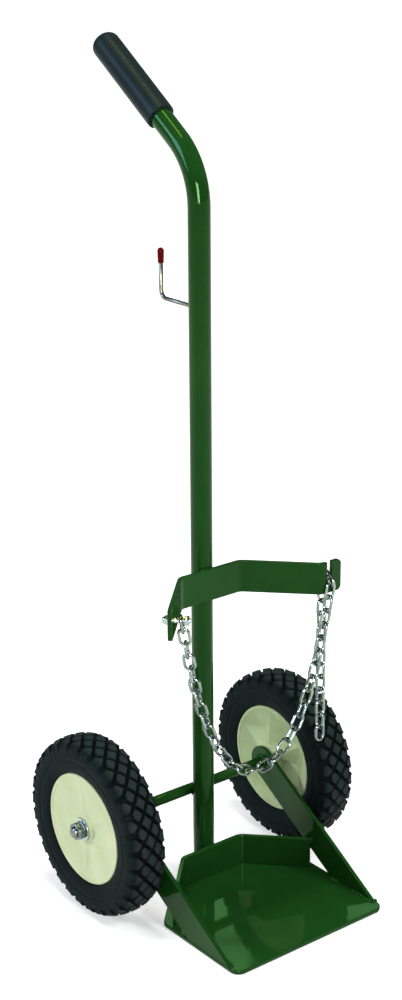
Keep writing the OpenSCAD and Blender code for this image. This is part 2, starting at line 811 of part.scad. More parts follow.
module chain_bolt() {
    color(zinc)
        at_bolt()
            translate([0, 0, -bar_t - seat_gap]) {
                cylinder(d = bolt_d, h = shank_len);
                mirror([0, 0, 1]) {
                    hexagon(bolt_flats, bolt_head_h);
                    translate([0, 0, bolt_head_h + bolt_dome - dome_r])
                        sphere(r = dome_r);
                }
            }
}

module chain_nut() {
    color(zinc)
        at_bolt()
            translate([0, 0, nut_seat])
                difference() {
                    hexagon(bolt_flats, bolt_head_h);
                    translate([0, 0, -cut])
                        cylinder(d = bolt_d + 2 * seat_gap, h = bolt_head_h + 2 * cut);
                }
}

module chain_loop() {
    // The first link lies square to the bolt and the last one square to the slot link
    first_spin = 90 - cradle_turn + loop_heading;
    last_spin = 90 * (loop_links % 2) - loop_heading;
    color(zinc)
        translate(loop_start)
            rotate(loop_heading)
                for (i = [0 : loop_links - 1])
                    link_between(loop_point(i * link_pitch), loop_point((i + 1) * link_pitch),
                        90 * i + first_spin + (last_spin - first_spin) * i / (loop_links - 1));
}

module chain_slot_link() {
    color(zinc)
        translate(slot_link_at)
            rotate([slot_link_slope - 90, 0, 0])
                link();
}

module chain_tail() {
    start = [tail_start.y, tail_start.z];
    lean = tail_y - tail_start.y;
    below = start + [lean, -sqrt(pow(link_pitch, 2) - pow(lean, 2))];
    down = [0, -link_pitch];
    color(zinc)
        translate([tail_start.x, 0, 0])
            rotate(90) {
                link_between(start, below, 0);
                for (i = [1 : tail_links - 1])
                    link_between(below + (i - 1) * down, below + i * down, 90 * i);
            }
}

module base_plate() {
    diag = (cradle_y + bar_t - plate_shoulder) / tan(cradle_turn);
    half = plate_w / 2;
    rear = cradle_y + bar_t;
    color(paint_green)
        linear_extrude(plate_t)
            polygon(rounded([[-half, -plate_front], [half, -plate_front], [half, plate_shoulder],
                [half - diag, rear], [diag - half, rear], [-half, plate_shoulder]], plate_corner_r));
}

module backstop() {
    color(paint_green)
        translate([0, 0, plate_t + seat_gap])
            linear_extrude(bar_w)
                cradle_outline(backstop_wing, 0);
}

module brace_left() {
    brace(-1);
}

module brace_right() {
    brace(1);
}

module axle_rod() {
    color(paint_green)
        translate([-axle_end_x, axle_y, axle_z])
            rotate([0, 90, 0])
                cylinder(d = axle_d, h = 2 * axle_end_x);
}

module hub_outer_left() {
    hub_outer(-1);
}

module hub_outer_right() {
    hub_outer(1);
}

module hub_inner_left() {
    hub_inner(-1);
}

module hub_inner_right() {
    hub_inner(1);
}

module hub_outer(side) {
    color(hub_cream)
        at_wheel(side)
            hub_half(hub_w / 2, hub_dish, dish_floor, ridge_outer, flank_outer);
}

module hub_inner(side) {
    color(hub_cream)
        at_wheel(side)
            mirror([1, 0, 0])
                hub_half(wheel_x - boss_in_x, hub_bowl, bowl_floor, ridge_inner, flank_inner);
}

module bush(side) {
    color(rubber_black)
        axle_ring(side, boss_in_x, hub_face_x - boss_in_x, bush_d, axle_d + 2 * run_fit);
}

module bush_left() {
    bush(-1);
}

module bush_right() {
    bush(1);
}

module tyre_left() {
    color(rubber_black)
        at_wheel(-1)
            tyre();
}

module tyre_right() {
    color(rubber_black)
        at_wheel(1)
            tyre();
}

module washer(side, x) {
    color(zinc)
        axle_ring(side, x, washer_t, washer_d, axle_d + 2 * seat_gap);
}

module inner_washer_left() {
    washer(-1, inner_washer_x);
}

module inner_washer_right() {
    washer(1, inner_washer_x);
}

module outer_washer_left() {
    washer(-1, outer_washer_x);
}

module outer_washer_right() {
    washer(1, outer_washer_x);
}

module axle_nut_left() {
    axle_nut(-1);
}

module axle_nut_right() {
    axle_nut(1);
}

post_tube();
handle_grip();
hook_rod();
hook_cap();
cylinder_bracket();
chain_bolt();
chain_nut();
chain_loop();
chain_slot_link();
chain_tail();
base_plate();
backstop();
brace_left();
brace_right();
axle_rod();
hub_outer_left();
hub_outer_right();
hub_inner_left();
hub_inner_right();
bush_left();
bush_right();
tyre_left();
tyre_right();
inner_washer_left();
inner_washer_right();
outer_washer_left();
outer_washer_right();
axle_nut_left();
axle_nut_right();
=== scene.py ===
import json
import logging
import math
from dataclasses import dataclass, field
from enum import Enum
from typing import Callable, Iterable, Sequence

import bmesh
import bpy
import numpy as np
from mathutils import Matrix, Vector


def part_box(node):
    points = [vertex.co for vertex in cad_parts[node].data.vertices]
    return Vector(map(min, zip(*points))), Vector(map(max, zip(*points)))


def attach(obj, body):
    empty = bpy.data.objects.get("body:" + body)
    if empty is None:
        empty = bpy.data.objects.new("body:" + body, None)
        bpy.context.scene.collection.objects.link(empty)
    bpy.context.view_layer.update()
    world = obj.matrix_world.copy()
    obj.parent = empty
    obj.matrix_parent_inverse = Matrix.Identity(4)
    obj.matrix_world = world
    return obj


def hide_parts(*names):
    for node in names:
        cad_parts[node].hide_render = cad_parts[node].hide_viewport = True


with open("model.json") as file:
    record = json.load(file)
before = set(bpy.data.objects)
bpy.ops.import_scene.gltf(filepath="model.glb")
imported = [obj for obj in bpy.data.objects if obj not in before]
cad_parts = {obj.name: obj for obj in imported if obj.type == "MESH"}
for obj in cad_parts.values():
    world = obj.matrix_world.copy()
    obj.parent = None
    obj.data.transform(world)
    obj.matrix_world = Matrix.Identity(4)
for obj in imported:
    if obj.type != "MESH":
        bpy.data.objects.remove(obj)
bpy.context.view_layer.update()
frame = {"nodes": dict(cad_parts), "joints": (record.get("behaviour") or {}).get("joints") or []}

log = logging.getLogger("gas_cylinder_trolley")

MM = 0.001
CORE = 0.02 * MM  # radius at which a turned shape closes on its axis
MERGE = 0.002 * MM  # vertices of one shape that are nearer than this become one
Colour = tuple[float, float, float]
Place = tuple[float, float, float]
Grid = tuple[list[Place], list[tuple[int, ...]]]
Socket = bpy.types.NodeSocket


class Side(Enum):
    """The two sides of the trolley: left towards -X, right towards +X."""

    LEFT = "left"
    RIGHT = "right"

    @property
    def sign(self) -> int:
        """Sign of X on this side."""
        return -1 if self is Side.LEFT else 1


class Face(Enum):
    """The two faces of a wheel hub."""

    OUTER = "outer"
    INNER = "inner"


# Small helpers for nodes and meshes


class NodeDesk:
    """Short hand for one node tree: adds nodes, sets their sockets and links them."""

    def __init__(self, tree: bpy.types.NodeTree) -> None:
        """Keeps the tree that the nodes go into.

        Args:
            tree: Shader or geometry node tree.
        """
        self.tree = tree

    def add(self, kind: str, inputs: dict | None = None, **settings: object) -> bpy.types.Node:
        """Adds one node.

        Args:
            kind: Blender's type name of the node.
            inputs: Socket name or index to a value or to another node's output.
            settings: Attributes of the node.

        Returns:
            The new node.
        """
        node = self.tree.nodes.new(kind)
        for name, value in settings.items():
            setattr(node, name, value)
        self.feed(node, inputs or {})
        return node

    def feed(self, node: bpy.types.Node, inputs: dict) -> None:
        """Sets or links the inputs of a node.

        Args:
            node: Node of this tree.
            inputs: Socket name or index to a value or to another node's output.
        """
        for key, value in inputs.items():
            if isinstance(value, Socket):
                self.tree.links.new(value, node.inputs[key])
            else:
                node.inputs[key].default_value = value

    def sums(self, a: object, b: object, how: str) -> Socket:
        """Adds one math node.

        Args:
            a: First value or output.
            b: Second value or output.
            how: Blender's name of the operation.

        Returns:
            The result's output.
        """
        return self.add("ShaderNodeMath", {0: a, 1: b}, operation=how).outputs[0]

    def ramp(self, factor: Socket, stops: Sequence[tuple[float, Colour]]) -> Socket:
        """Adds a colour ramp.

        Args:
            factor: Output that drives the ramp.
            stops: Positions and colours, in rising order.

        Returns:
            The ramp's colour output.
        """
        node = self.add("ShaderNodeValToRGB", {"Fac": factor})
        elements = node.color_ramp.elements
        while len(elements) < len(stops):
            elements.new(1.0)
        for element, (place, colour) in zip(elements, stops):
            element.position = place
            element.color = (*colour, 1.0)
        return node.outputs["Color"]

    def blend(self, factor: Socket, start: object, end: object) -> Socket:
        """Mixes two colours.

        Args:
            factor: Share of the second colour.
            start: First colour, as four values or an output.
            end: Second colour, as four values or an output.

        Returns:
            The mixed colour output.
        """
        node = self.add("ShaderNodeMix", {0: factor, 6: start, 7: end}, data_type="RGBA")
        return node.outputs[2]

    def spread(
        self, value: Socket, low: float, high: float, start: float = 0.0, end: float = 1.0
    ) -> Socket:
        """Maps one range of a value to another.

        Args:
            value: Output to map.
            low: Result at the start of the range.
            high: Result at the end of the range.
            start: Value at which the range starts.
            end: Value at which the range ends.

        Returns:
            The mapped value output.
        """
        ends = {"From Min": start, "From Max": end, "To Min": low, "To Max": high}
        return self.add("ShaderNodeMapRange", {"Value": value, **ends}).outputs["Result"]


@dataclass(frozen=True)
class Cloud:
    """Noise that varies a finish: its scale, per metre, and its number of octaves."""

    scale: float
    detail: float

    def value(self, desk: NodeDesk) -> Socket:
        """Adds the noise on Object coordinates.

        Args:
            desk: Material tree.

        Returns:
            The noise value output.
        """
        place = desk.add("ShaderNodeTexCoord").outputs["Object"]
        sockets = {"Vector": place, "Scale": self.scale, "Detail": self.detail}
        return desk.add("ShaderNodeTexNoise", sockets).outputs["Fac"]


def bump(desk: NodeDesk, height: Socket, distance: float, strength: float) -> Socket:
    """Adds a bump node.

    Args:
        desk: Material tree.
        height: Output that gives the height, 0 to 1.
        distance: Height of 1, in metres.
        strength: Share of the effect.

    Returns:
        The normal output.
    """
    sockets = {"Height": height, "Distance": distance, "Strength": strength}
    return desk.add("ShaderNodeBump", sockets).outputs["Normal"]


def new_material(name: str) -> tuple[bpy.types.Material, NodeDesk, bpy.types.Node]:
    """Makes a material with a Principled shader.

    Args:
        name: Name of the material.

    Returns:
        The material, its tree's desk and the shader node.
    """
    material = bpy.data.materials.new(name)
    material.use_nodes = True
    desk = NodeDesk(material.node_tree)
    shader = next(n for n in material.node_tree.nodes if n.type == "BSDF_PRINCIPLED")
    return material, desk, shader


def mesh_object(name: str, verts: Iterable, faces: Iterable) -> bpy.types.Object:
    """Makes a smooth mesh object at the origin and turns its faces outwards.

    Args:
        name: Name of the object.
        verts: Places in the row frame, in metres.
        faces: Vertex indices of each face.

    Returns:
        The linked object.
    """
    mesh = bpy.data.meshes.new(name)
    mesh.from_pydata([tuple(v) for v in verts], [], [tuple(f) for f in faces])
    work = bmesh.new()
    work.from_mesh(mesh)
    bmesh.ops.remove_doubles(work, verts=work.verts, dist=MERGE)
    bmesh.ops.recalc_face_normals(work, faces=work.faces)
    work.to_mesh(mesh)
    work.free()
    return smooth_object(name, mesh)


def smooth_object(name: str, mesh: bpy.types.Mesh) -> bpy.types.Object:
    """Links a mesh whose faces are shaded smooth.

    Args:
        name: Name of the object.
        mesh: Its mesh.

    Returns:
        The linked object.
    """
    mesh.polygons.foreach_set("use_smooth", [True] * len(mesh.polygons))
    piece = bpy.data.objects.new(name, mesh)
    bpy.context.scene.collection.objects.link(piece)
    return piece


def settle(piece: bpy.types.Object) -> bpy.types.Object:
    """Turns a piece with modifiers into a plain mesh.

    Args:
        piece: Object whose modifiers are evaluated and removed.

    Returns:
        A mesh object of the same name.
    """
    graph = bpy.context.evaluated_depsgraph_get()
    mesh = bpy.data.meshes.new_from_object(piece.evaluated_get(graph), depsgraph=graph)
    name = piece.name
    bpy.data.objects.remove(piece)
    mesh.name = name
    plain = bpy.data.objects.new(name, mesh)
    bpy.context.scene.collection.objects.link(plain)
    return plain


def softened_copy(
    node: str,
    edge: float,
    sharp: float = math.radians(35.0),
    flat: float = math.radians(0.8),
    steps: int = 3,
    merge: float = 0.005 * MM,
) -> bpy.types.Object:
    """Copies a solid of the frame and rounds its sharp edges.

    Args:
        node: Name of the solid.
        edge: Width of the rounded edge, in metres.
        sharp: Angle above which an edge is rounded.
        flat: Angle below which faces count as one.
        steps: Number of faces across a rounded edge.
        merge: Distance within which the solid's loose corners are one.

    Returns:
        The new piece.
    """
    work = bmesh.new()
    work.from_mesh(frame["nodes"][node].data)
    bmesh.ops.remove_doubles(work, verts=work.verts, dist=merge)
    bmesh.ops.dissolve_limit(work, angle_limit=flat, verts=work.verts, edges=work.edges)
    mesh = bpy.data.meshes.new(node + "_work")
    work.to_mesh(mesh)
    work.free()
    piece = smooth_object(node + "_finish", mesh)
    bevel = piece.modifiers.new("edges", "BEVEL")
    bevel.width = edge
    bevel.segments = steps
    bevel.limit_method = "ANGLE"
    bevel.angle_limit = sharp
    bevel.use_clamp_overlap = True
    weighted = piece.modifiers.new("flat_faces", "WEIGHTED_NORMAL")
    weighted.keep_sharp = True
    return settle(piece)


def turned(profile: Sequence[tuple[float, float]], steps: int = 64) -> Grid:
    """Turns a closed profile about Z.

    Args:
        profile: Closed section as pairs of radius and height.
        steps: Number of faces round the axis.

    Returns:
        Vertices and faces.
    """
    verts: list[Place] = []
    for r, z in profile:
        for k in range(steps):
            angle = 2 * math.pi * k / steps
            verts.append((r * math.cos(angle), r * math.sin(angle), z))
    return verts, grid_faces(len(profile), steps, closed_rows=True)


def grid_faces(rows: int, columns: int, closed_rows: bool = False) -> list[tuple[int, ...]]:
    """Faces of a grid whose columns close round an axis.

    Args:
        rows: Number of rows.
        columns: Number of vertices in a row.
        closed_rows: Whether the last row joins the first.

    Returns:
        Quads.
    """
    faces: list[tuple[int, ...]] = []
    for i in range(rows if closed_rows else rows - 1):
        here, there = i * columns, (i + 1) % rows * columns
        for k in range(columns):
            on = (k + 1) % columns
            faces.append((here + k, here + on, there + on, there + k))
    return faces


def placed(grid: Grid, matrix: Matrix) -> Grid:
    """Moves the vertices of a grid.

    Args:
        grid: Vertices and faces.
        matrix: Placement in the row frame.

    Returns:
        Moved vertices and the same faces.
    """
    verts, faces = grid
    return [tuple(matrix @ Vector(v)) for v in verts], faces


def joined(grids: Iterable[Grid]) -> Grid:
    """Puts several grids into one list of vertices and faces.

    Args:
        grids: Vertices and faces of each shape.

    Returns:
        All vertices and faces.
    """
    verts: list[Place] = []
    faces: list[tuple[int, ...]] = []
    for more_verts, more_faces in grids:
        base = len(verts)
        verts.extend(more_verts)
        faces.extend(tuple(base + i for i in f) for f in more_faces)
    return verts, faces


def along_axis(origin: Vector, axis: Vector) -> Matrix:
    """Placement that carries Z to an axis through a point.

    Args:
        origin: Where the local origin goes.
        axis: Direction of the local Z.

    Returns:
        The matrix.
    """
    turn = axis.normalized().to_track_quat("Z", "Y").to_matrix().to_4x4()
    return Matrix.Translation(origin) @ turn


def swept(path: Sequence[Vector], radii: Sequence[float], steps: int, side: Vector) -> Grid:
    """Carries a ring along a path in one plane.

    Args:
        path: Points of the centre line.
        radii: Radius at each point.
        steps: Number of faces round the path.
        side: Direction square to the plane of the path.

    Returns:
        Vertices and faces of the open skin.
    """
    verts: list[Place] = []
    for i, point in enumerate(path):
        ahead = path[min(i + 1, len(path) - 1)] - path[max(i - 1, 0)]
        across = side.cross(ahead.normalized())
        for k in range(steps):
            angle = 2 * math.pi * k / steps
            spoke = math.cos(angle) * side + math.sin(angle) * across
            verts.append(tuple(point + radii[i] * spoke))
    return verts, grid_faces(len(path), steps)


def arc_points(
    centre: Vector, start: Vector, normal: Vector, turn: float, steps: int
) -> list[Vector]:
    """Points of an arc.

    Args:
        centre: Centre of the arc.
        start: First point.
        normal: Axis of the turn.
        turn: Angle, in radians.
        steps: Number of pieces.

    Returns:
        Points from the start to the end.
    """
    spoke = start - centre
    return [centre + Matrix.Rotation(turn * k / steps, 3, normal) @ spoke for k in range(steps + 1)]


def node_points(node: str) -> np.ndarray:
    """Corners of a solid, as rows of X, Y and Z.

    Args:
        node: Name of the solid.

    Returns:
        The corners.
    """
    return np.array([v.co for v in frame["nodes"][node].data.vertices])


def loose_parts(node: str) -> list[np.ndarray]:
    """Corners of each separate part of a solid.

    Args:
        node: Name of the solid.

    Returns:
        One array for each part, with rows of X, Y and Z.
    """
    work = bmesh.new()
    work.from_mesh(frame["nodes"][node].data)
    bmesh.ops.remove_doubles(work, verts=work.verts, dist=MERGE)
    seen: set[int] = set()
    parts: list[np.ndarray] = []
    for vert in work.verts:
        if vert.index in seen:
            continue
        group, queue = [], [vert]
        seen.add(vert.index)
        while queue:
            here = queue.pop()
            group.append(here.co[:])
            for edge in here.link_edges:
                other = edge.other_vert(here)
                if other.index not in seen:
                    seen.add(other.index)
                    queue.append(other)
        parts.append(np.array(group))
    work.free()
    return parts


def new_tree(name: str, inputs: dict[str, str]) -> tuple[NodeDesk, dict[str, Socket]]:
    """Starts a geometry node tree with a mesh, named sizes and a finish as its inputs.

    Args:
        name: Name of the tree.
        inputs: Name of each size to the kind of its socket.

    Returns:
        The tree's desk and its inputs by name.
    """
    tree = bpy.data.node_groups.new(name, "GeometryNodeTree")
    sockets = {"Geometry": "Geometry", **inputs, "Finish": "Material"}
    for label, kind in sockets.items():
        tree.interface.new_socket(label, in_out="INPUT", socket_type="NodeSocket" + kind)
    tree.interface.new_socket("Geometry", in_out="OUTPUT", socket_type="NodeSocketGeometry")
    desk = NodeDesk(tree)
    given = desk.add("NodeGroupInput").outputs
    return desk, {label: given[label] for label in sockets}


def end_tree(desk: NodeDesk, copies: bpy.types.Node, finish: Socket) -> bpy.types.NodeTree:
    """Ends a geometry node tree: realizes its copies, smooths them and gives them their finish.

    Args:
        desk: The tree's desk.
        copies: Node that puts the copies in place.
        finish: Input that holds the material.

    Returns:
        The tree.
    """
    real = desk.add("GeometryNodeRealizeInstances", {0: copies.outputs[0]})
    soft = desk.add("GeometryNodeSetShadeSmooth", {0: real.outputs[0]})
    dressed = desk.add("GeometryNodeSetMaterial", {"Geometry": soft.outputs[0], "Material": finish})
    desk.add("NodeGroupOutput", {0: dressed.outputs[0]})
    return desk.tree


def grown(
    mesh: bpy.types.Mesh, tree: bpy.types.NodeTree, sizes: dict[str, object]
) -> bpy.types.Object:
    """Runs a geometry node tree on a mesh and keeps the result as a plain mesh.

    Args:
        mesh: Points or paths that the tree reads.
        tree: Geometry node tree.
        sizes: Value of each named input.

    Returns:
        A mesh object of the mesh's name.
    """
    carrier = bpy.data.objects.new(mesh.name, mesh)
    bpy.context.scene.collection.objects.link(carrier)
    modifier = carrier.modifiers.new("grown", "NODES")
    modifier.node_group = tree
    for item in tree.interface.items_tree:
        if item.in_out == "INPUT" and item.name in sizes:
            modifier[item.identifier] = sizes[item.name]
    return settle(carrier)


# Finishes


@dataclass(frozen=True)
class GreenEnamel:
    """Glossy green enamel: orange peel, faint drift of colour and dust in the gloss."""

    name: str = "green_enamel"
    deep: Colour = (0.0075, 0.048, 0.0070)
    fresh: Colour = (0.0120, 0.071, 0.0108)
    gloss: float = 0.03
    dull: float = 0.08
    peel: float = 0.01 * MM
    peel_share: float = 0.5
    mirror: float = 0.16
    sheen: Colour = (0.45, 1.0, 0.4)
    drift: Cloud = Cloud(9.0, 4.0)
    dust: Cloud = Cloud(34.0, 6.0)
    ripple: Cloud = Cloud(420.0, 2.0)

    def material(self) -> bpy.types.Material:
        """Builds the node material."""
        material, desk, shader = new_material(self.name)
        sockets = {
            "Base Color": desk.ramp(self.drift.value(desk), [(0.3, self.deep), (0.7, self.fresh)]),
            "Roughness": desk.spread(self.dust.value(desk), self.gloss, self.dull),
            "Normal": bump(desk, self.ripple.value(desk), self.peel, self.peel_share),
            "Specular IOR Level": self.mirror,
            "Specular Tint": (*self.sheen, 1.0),
        }
        desk.feed(shader, sockets)
        return material


@dataclass(frozen=True)
class BlackRubber:
    """Moulded black rubber: fine grain, pale bloom and a dull sheen."""

    name: str
    dark: Colour
    bloom: Colour
    gloss: float = 0.34
    dull: float = 0.52
    grain: float = 0.08 * MM
    grain_share: float = 0.45
    mirror: float = 0.13
    haze: Cloud = Cloud(26.0, 5.0)
    scuffs: Cloud = Cloud(90.0, 4.0)
    pores: Cloud = Cloud(900.0, 3.0)

    def tint(self, desk: NodeDesk) -> Socket:
        """Colour of the rubber, with soft clouds of bloom.

        Args:
            desk: Material tree.

        Returns:
            The colour output.
        """
        return desk.ramp(self.haze.value(desk), [(0.35, self.dark), (0.75, self.bloom)])

    def material(self) -> bpy.types.Material:
        """Builds the node material."""
        material, desk, shader = new_material(self.name)
        sockets = {
            "Base Color": self.tint(desk),
            "Roughness": desk.spread(self.scuffs.value(desk), self.gloss, self.dull),
            "Normal": bump(desk, self.pores.value(desk), self.grain, self.grain_share),
            "Specular IOR Level": self.mirror,
        }
        desk.feed(shader, sockets)
        return material


@dataclass(frozen=True)
class TreadRubber(BlackRubber):
    """Tyre rubber with painted shade in the grooves and painted light on the block tops, after the
    mesh's "block" value.
    """

    # groove is painted shade for the groove floors; top is painted light for the block tops.
    groove: Colour = (0.0036, 0.0062, 0.0064)
    top: Colour = (0.0230, 0.0355, 0.0315)
    plain_level: float = 0.5

    def tint(self, desk: NodeDesk) -> Socket:
        """Colour of the rubber, from painted shade in the grooves over the sidewalls to painted
        light on the block tops.

        Args:
            desk: Material tree.

        Returns:
            The colour output.
        """
        plain = super().tint(desk)
        block = desk.add("ShaderNodeAttribute", attribute_name="block").outputs["Fac"]
        low = desk.spread(block, 0.0, 1.0, end=self.plain_level)
        high = desk.spread(block, 0.0, 1.0, start=self.plain_level)
        # Painted shade darkens the grooves, then painted light brightens the block tops.
        painted_groove_shade = desk.blend(low, (*self.groove, 1.0), plain)
        return desk.blend(high, painted_groove_shade, (*self.top, 1.0))


@dataclass(frozen=True)
class BrightZinc:
    """Bright zinc plate: metal with a faint blue and straw drift and fine tumbling marks."""

    name: str
    blue: Colour = (0.29, 0.36, 0.38)
    straw: Colour = (0.50, 0.52, 0.45)
    gloss: float = 0.12
    dull: float = 0.30
    marks: float = 0.03 * MM
    marks_share: float = 0.4
    drift: Cloud = Cloud(55.0, 3.0)
    wear: Cloud = Cloud(240.0, 5.0)
    tumbling: Cloud = Cloud(1500.0, 2.0)

    def material(self) -> bpy.types.Material:
        """Builds the node material."""
        material, desk, shader = new_material(self.name)
        sockets = {
            "Base Color": desk.ramp(self.drift.value(desk), [(0.3, self.blue), (0.68, self.straw)]),
            "Roughness": desk.spread(self.wear.value(desk), self.gloss, self.dull),
            "Normal": bump(desk, self.tumbling.value(desk), self.marks, self.marks_share),
            "Metallic": 1.0,
        }
        desk.feed(shader, sockets)
        return material


@dataclass(frozen=True)
class MouldedPlastic:
    """Moulded plastic: even colour with soft clouds, a satin gloss and a fine mould grain."""

    name: str
    base: Colour
    shade: Colour
    gloss: float = 0.28
    dull: float = 0.42
    grain: float = 0.03 * MM
    grain_share: float = 0.4
    mirror: float = 0.08
    haze: Cloud = Cloud(30.0, 4.0)
    satin: Cloud = Cloud(70.0, 3.0)
    pores: Cloud = Cloud(1100.0, 2.0)

    def material(self) -> bpy.types.Material:
        """Builds the node material."""
        material, desk, shader = new_material(self.name)
        sockets = {
            "Base Color": desk.ramp(self.haze.value(desk), [(0.35, self.shade), (0.65, self.base)]),
            "Roughness": desk.spread(self.satin.value(desk), self.gloss, self.dull),
            "Normal": bump(desk, self.pores.value(desk), self.grain, self.grain_share),
            "Specular IOR Level": self.mirror,
        }
        desk.feed(shader, sockets)
        return material


ENAMEL = GreenEnamel()
GRIP_VINYL = BlackRubber(
    "grip_vinyl",
    (0.0100, 0.0190, 0.0200),
    (0.0140, 0.0250, 0.0262),
    gloss=0.30,
    dull=0.42,
    grain=0.012 * MM,
    mirror=0.06,
    pores=Cloud(1300.0, 3.0),
)
TYRE_RUBBER = TreadRubber(
    "tyre_rubber", (0.0056, 0.0112, 0.0114), (0.0084, 0.0158, 0.0160), mirror=0.02
)
ZINC = BrightZinc("zinc_plate")
HOOK_ZINC = BrightZinc("hook_zinc", (0.12, 0.13, 0.09), (0.21, 0.22, 0.15), gloss=0.28, dull=0.42)
DULL_ZINC = BrightZinc("zinc_dull", (0.10, 0.135, 0.135), (0.22, 0.25, 0.21), gloss=0.2, dull=0.34)
CHAIN_ZINC = BrightZinc(
    "chain_zinc", (0.12, 0.185, 0.19), (0.31, 0.36, 0.29), gloss=0.09, dull=0.22
)
HUB_CREAM = MouldedPlastic("hub_cream", (0.74, 0.81, 0.53), (0.66, 0.75, 0.45))
# Darker copy of the hub cream: painted shade for the inner hub halves.
HUB_SHADED = MouldedPlastic("hub_cream_painted_shade", (0.57, 0.68, 0.39), (0.45, 0.56, 0.29))
CAP_RED = MouldedPlastic(
    "cap_red", (0.15, 0.002, 0.002), (0.11, 0.0015, 0.0015), gloss=0.2, dull=0.34, mirror=0.03
)
BUSH_BLACK = MouldedPlastic("bush_black", (0.016, 0.016, 0.016), (0.011, 0.011, 0.011))


@dataclass
class Palette:
    """The finishes of the trolley, each built once."""

    enamel: bpy.types.Material = field(default_factory=ENAMEL.material)
    grip: bpy.types.Material = field(default_factory=GRIP_VINYL.material)
    tyre: bpy.types.Material = field(default_factory=TYRE_RUBBER.material)
    zinc: bpy.types.Material = field(default_factory=ZINC.material)
    hook_zinc: bpy.types.Material = field(default_factory=HOOK_ZINC.material)
    dull_zinc: bpy.types.Material = field(default_factory=DULL_ZINC.material)
    chain: bpy.types.Material = field(default_factory=CHAIN_ZINC.material)
    hub: bpy.types.Material = field(default_factory=HUB_CREAM.material)
    hub_shaded: bpy.types.Material = field(default_factory=HUB_SHADED.material)
    cap: bpy.types.Material = field(default_factory=CAP_RED.material)
    bush: bpy.types.Material = field(default_factory=BUSH_BLACK.material)


def dress(
    piece: bpy.types.Object, material: bpy.types.Material, body: str, slot: str, *nodes: str
) -> bpy.types.Object:
    """Gives a piece its finish and its body, and hides the solids that it stands for.

    Args:
        piece: New piece.
        material: Its finish.
        body: Body that it rides on.
        slot: Material slot of the record; not used.
        nodes: Solids that it stands for.

    Returns:
        The piece.
    """
    piece.data.materials.clear()
    piece.data.materials.append(material)
    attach(piece, body)
    if nodes:
        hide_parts(*nodes)
    log.info("%s on %s: %d faces", piece.name, body, len(piece.data.polygons))
    return piece


def joint_place(name: str) -> Vector:
    """Place of a hinge in the row frame.

    Args:
        name: Name of the joint.

    Returns:
        The point that its axis passes through.
    """
    return Vector(next(j["pos_m"] for j in frame["joints"] if j["name"] == name))


# Sub-assemblies


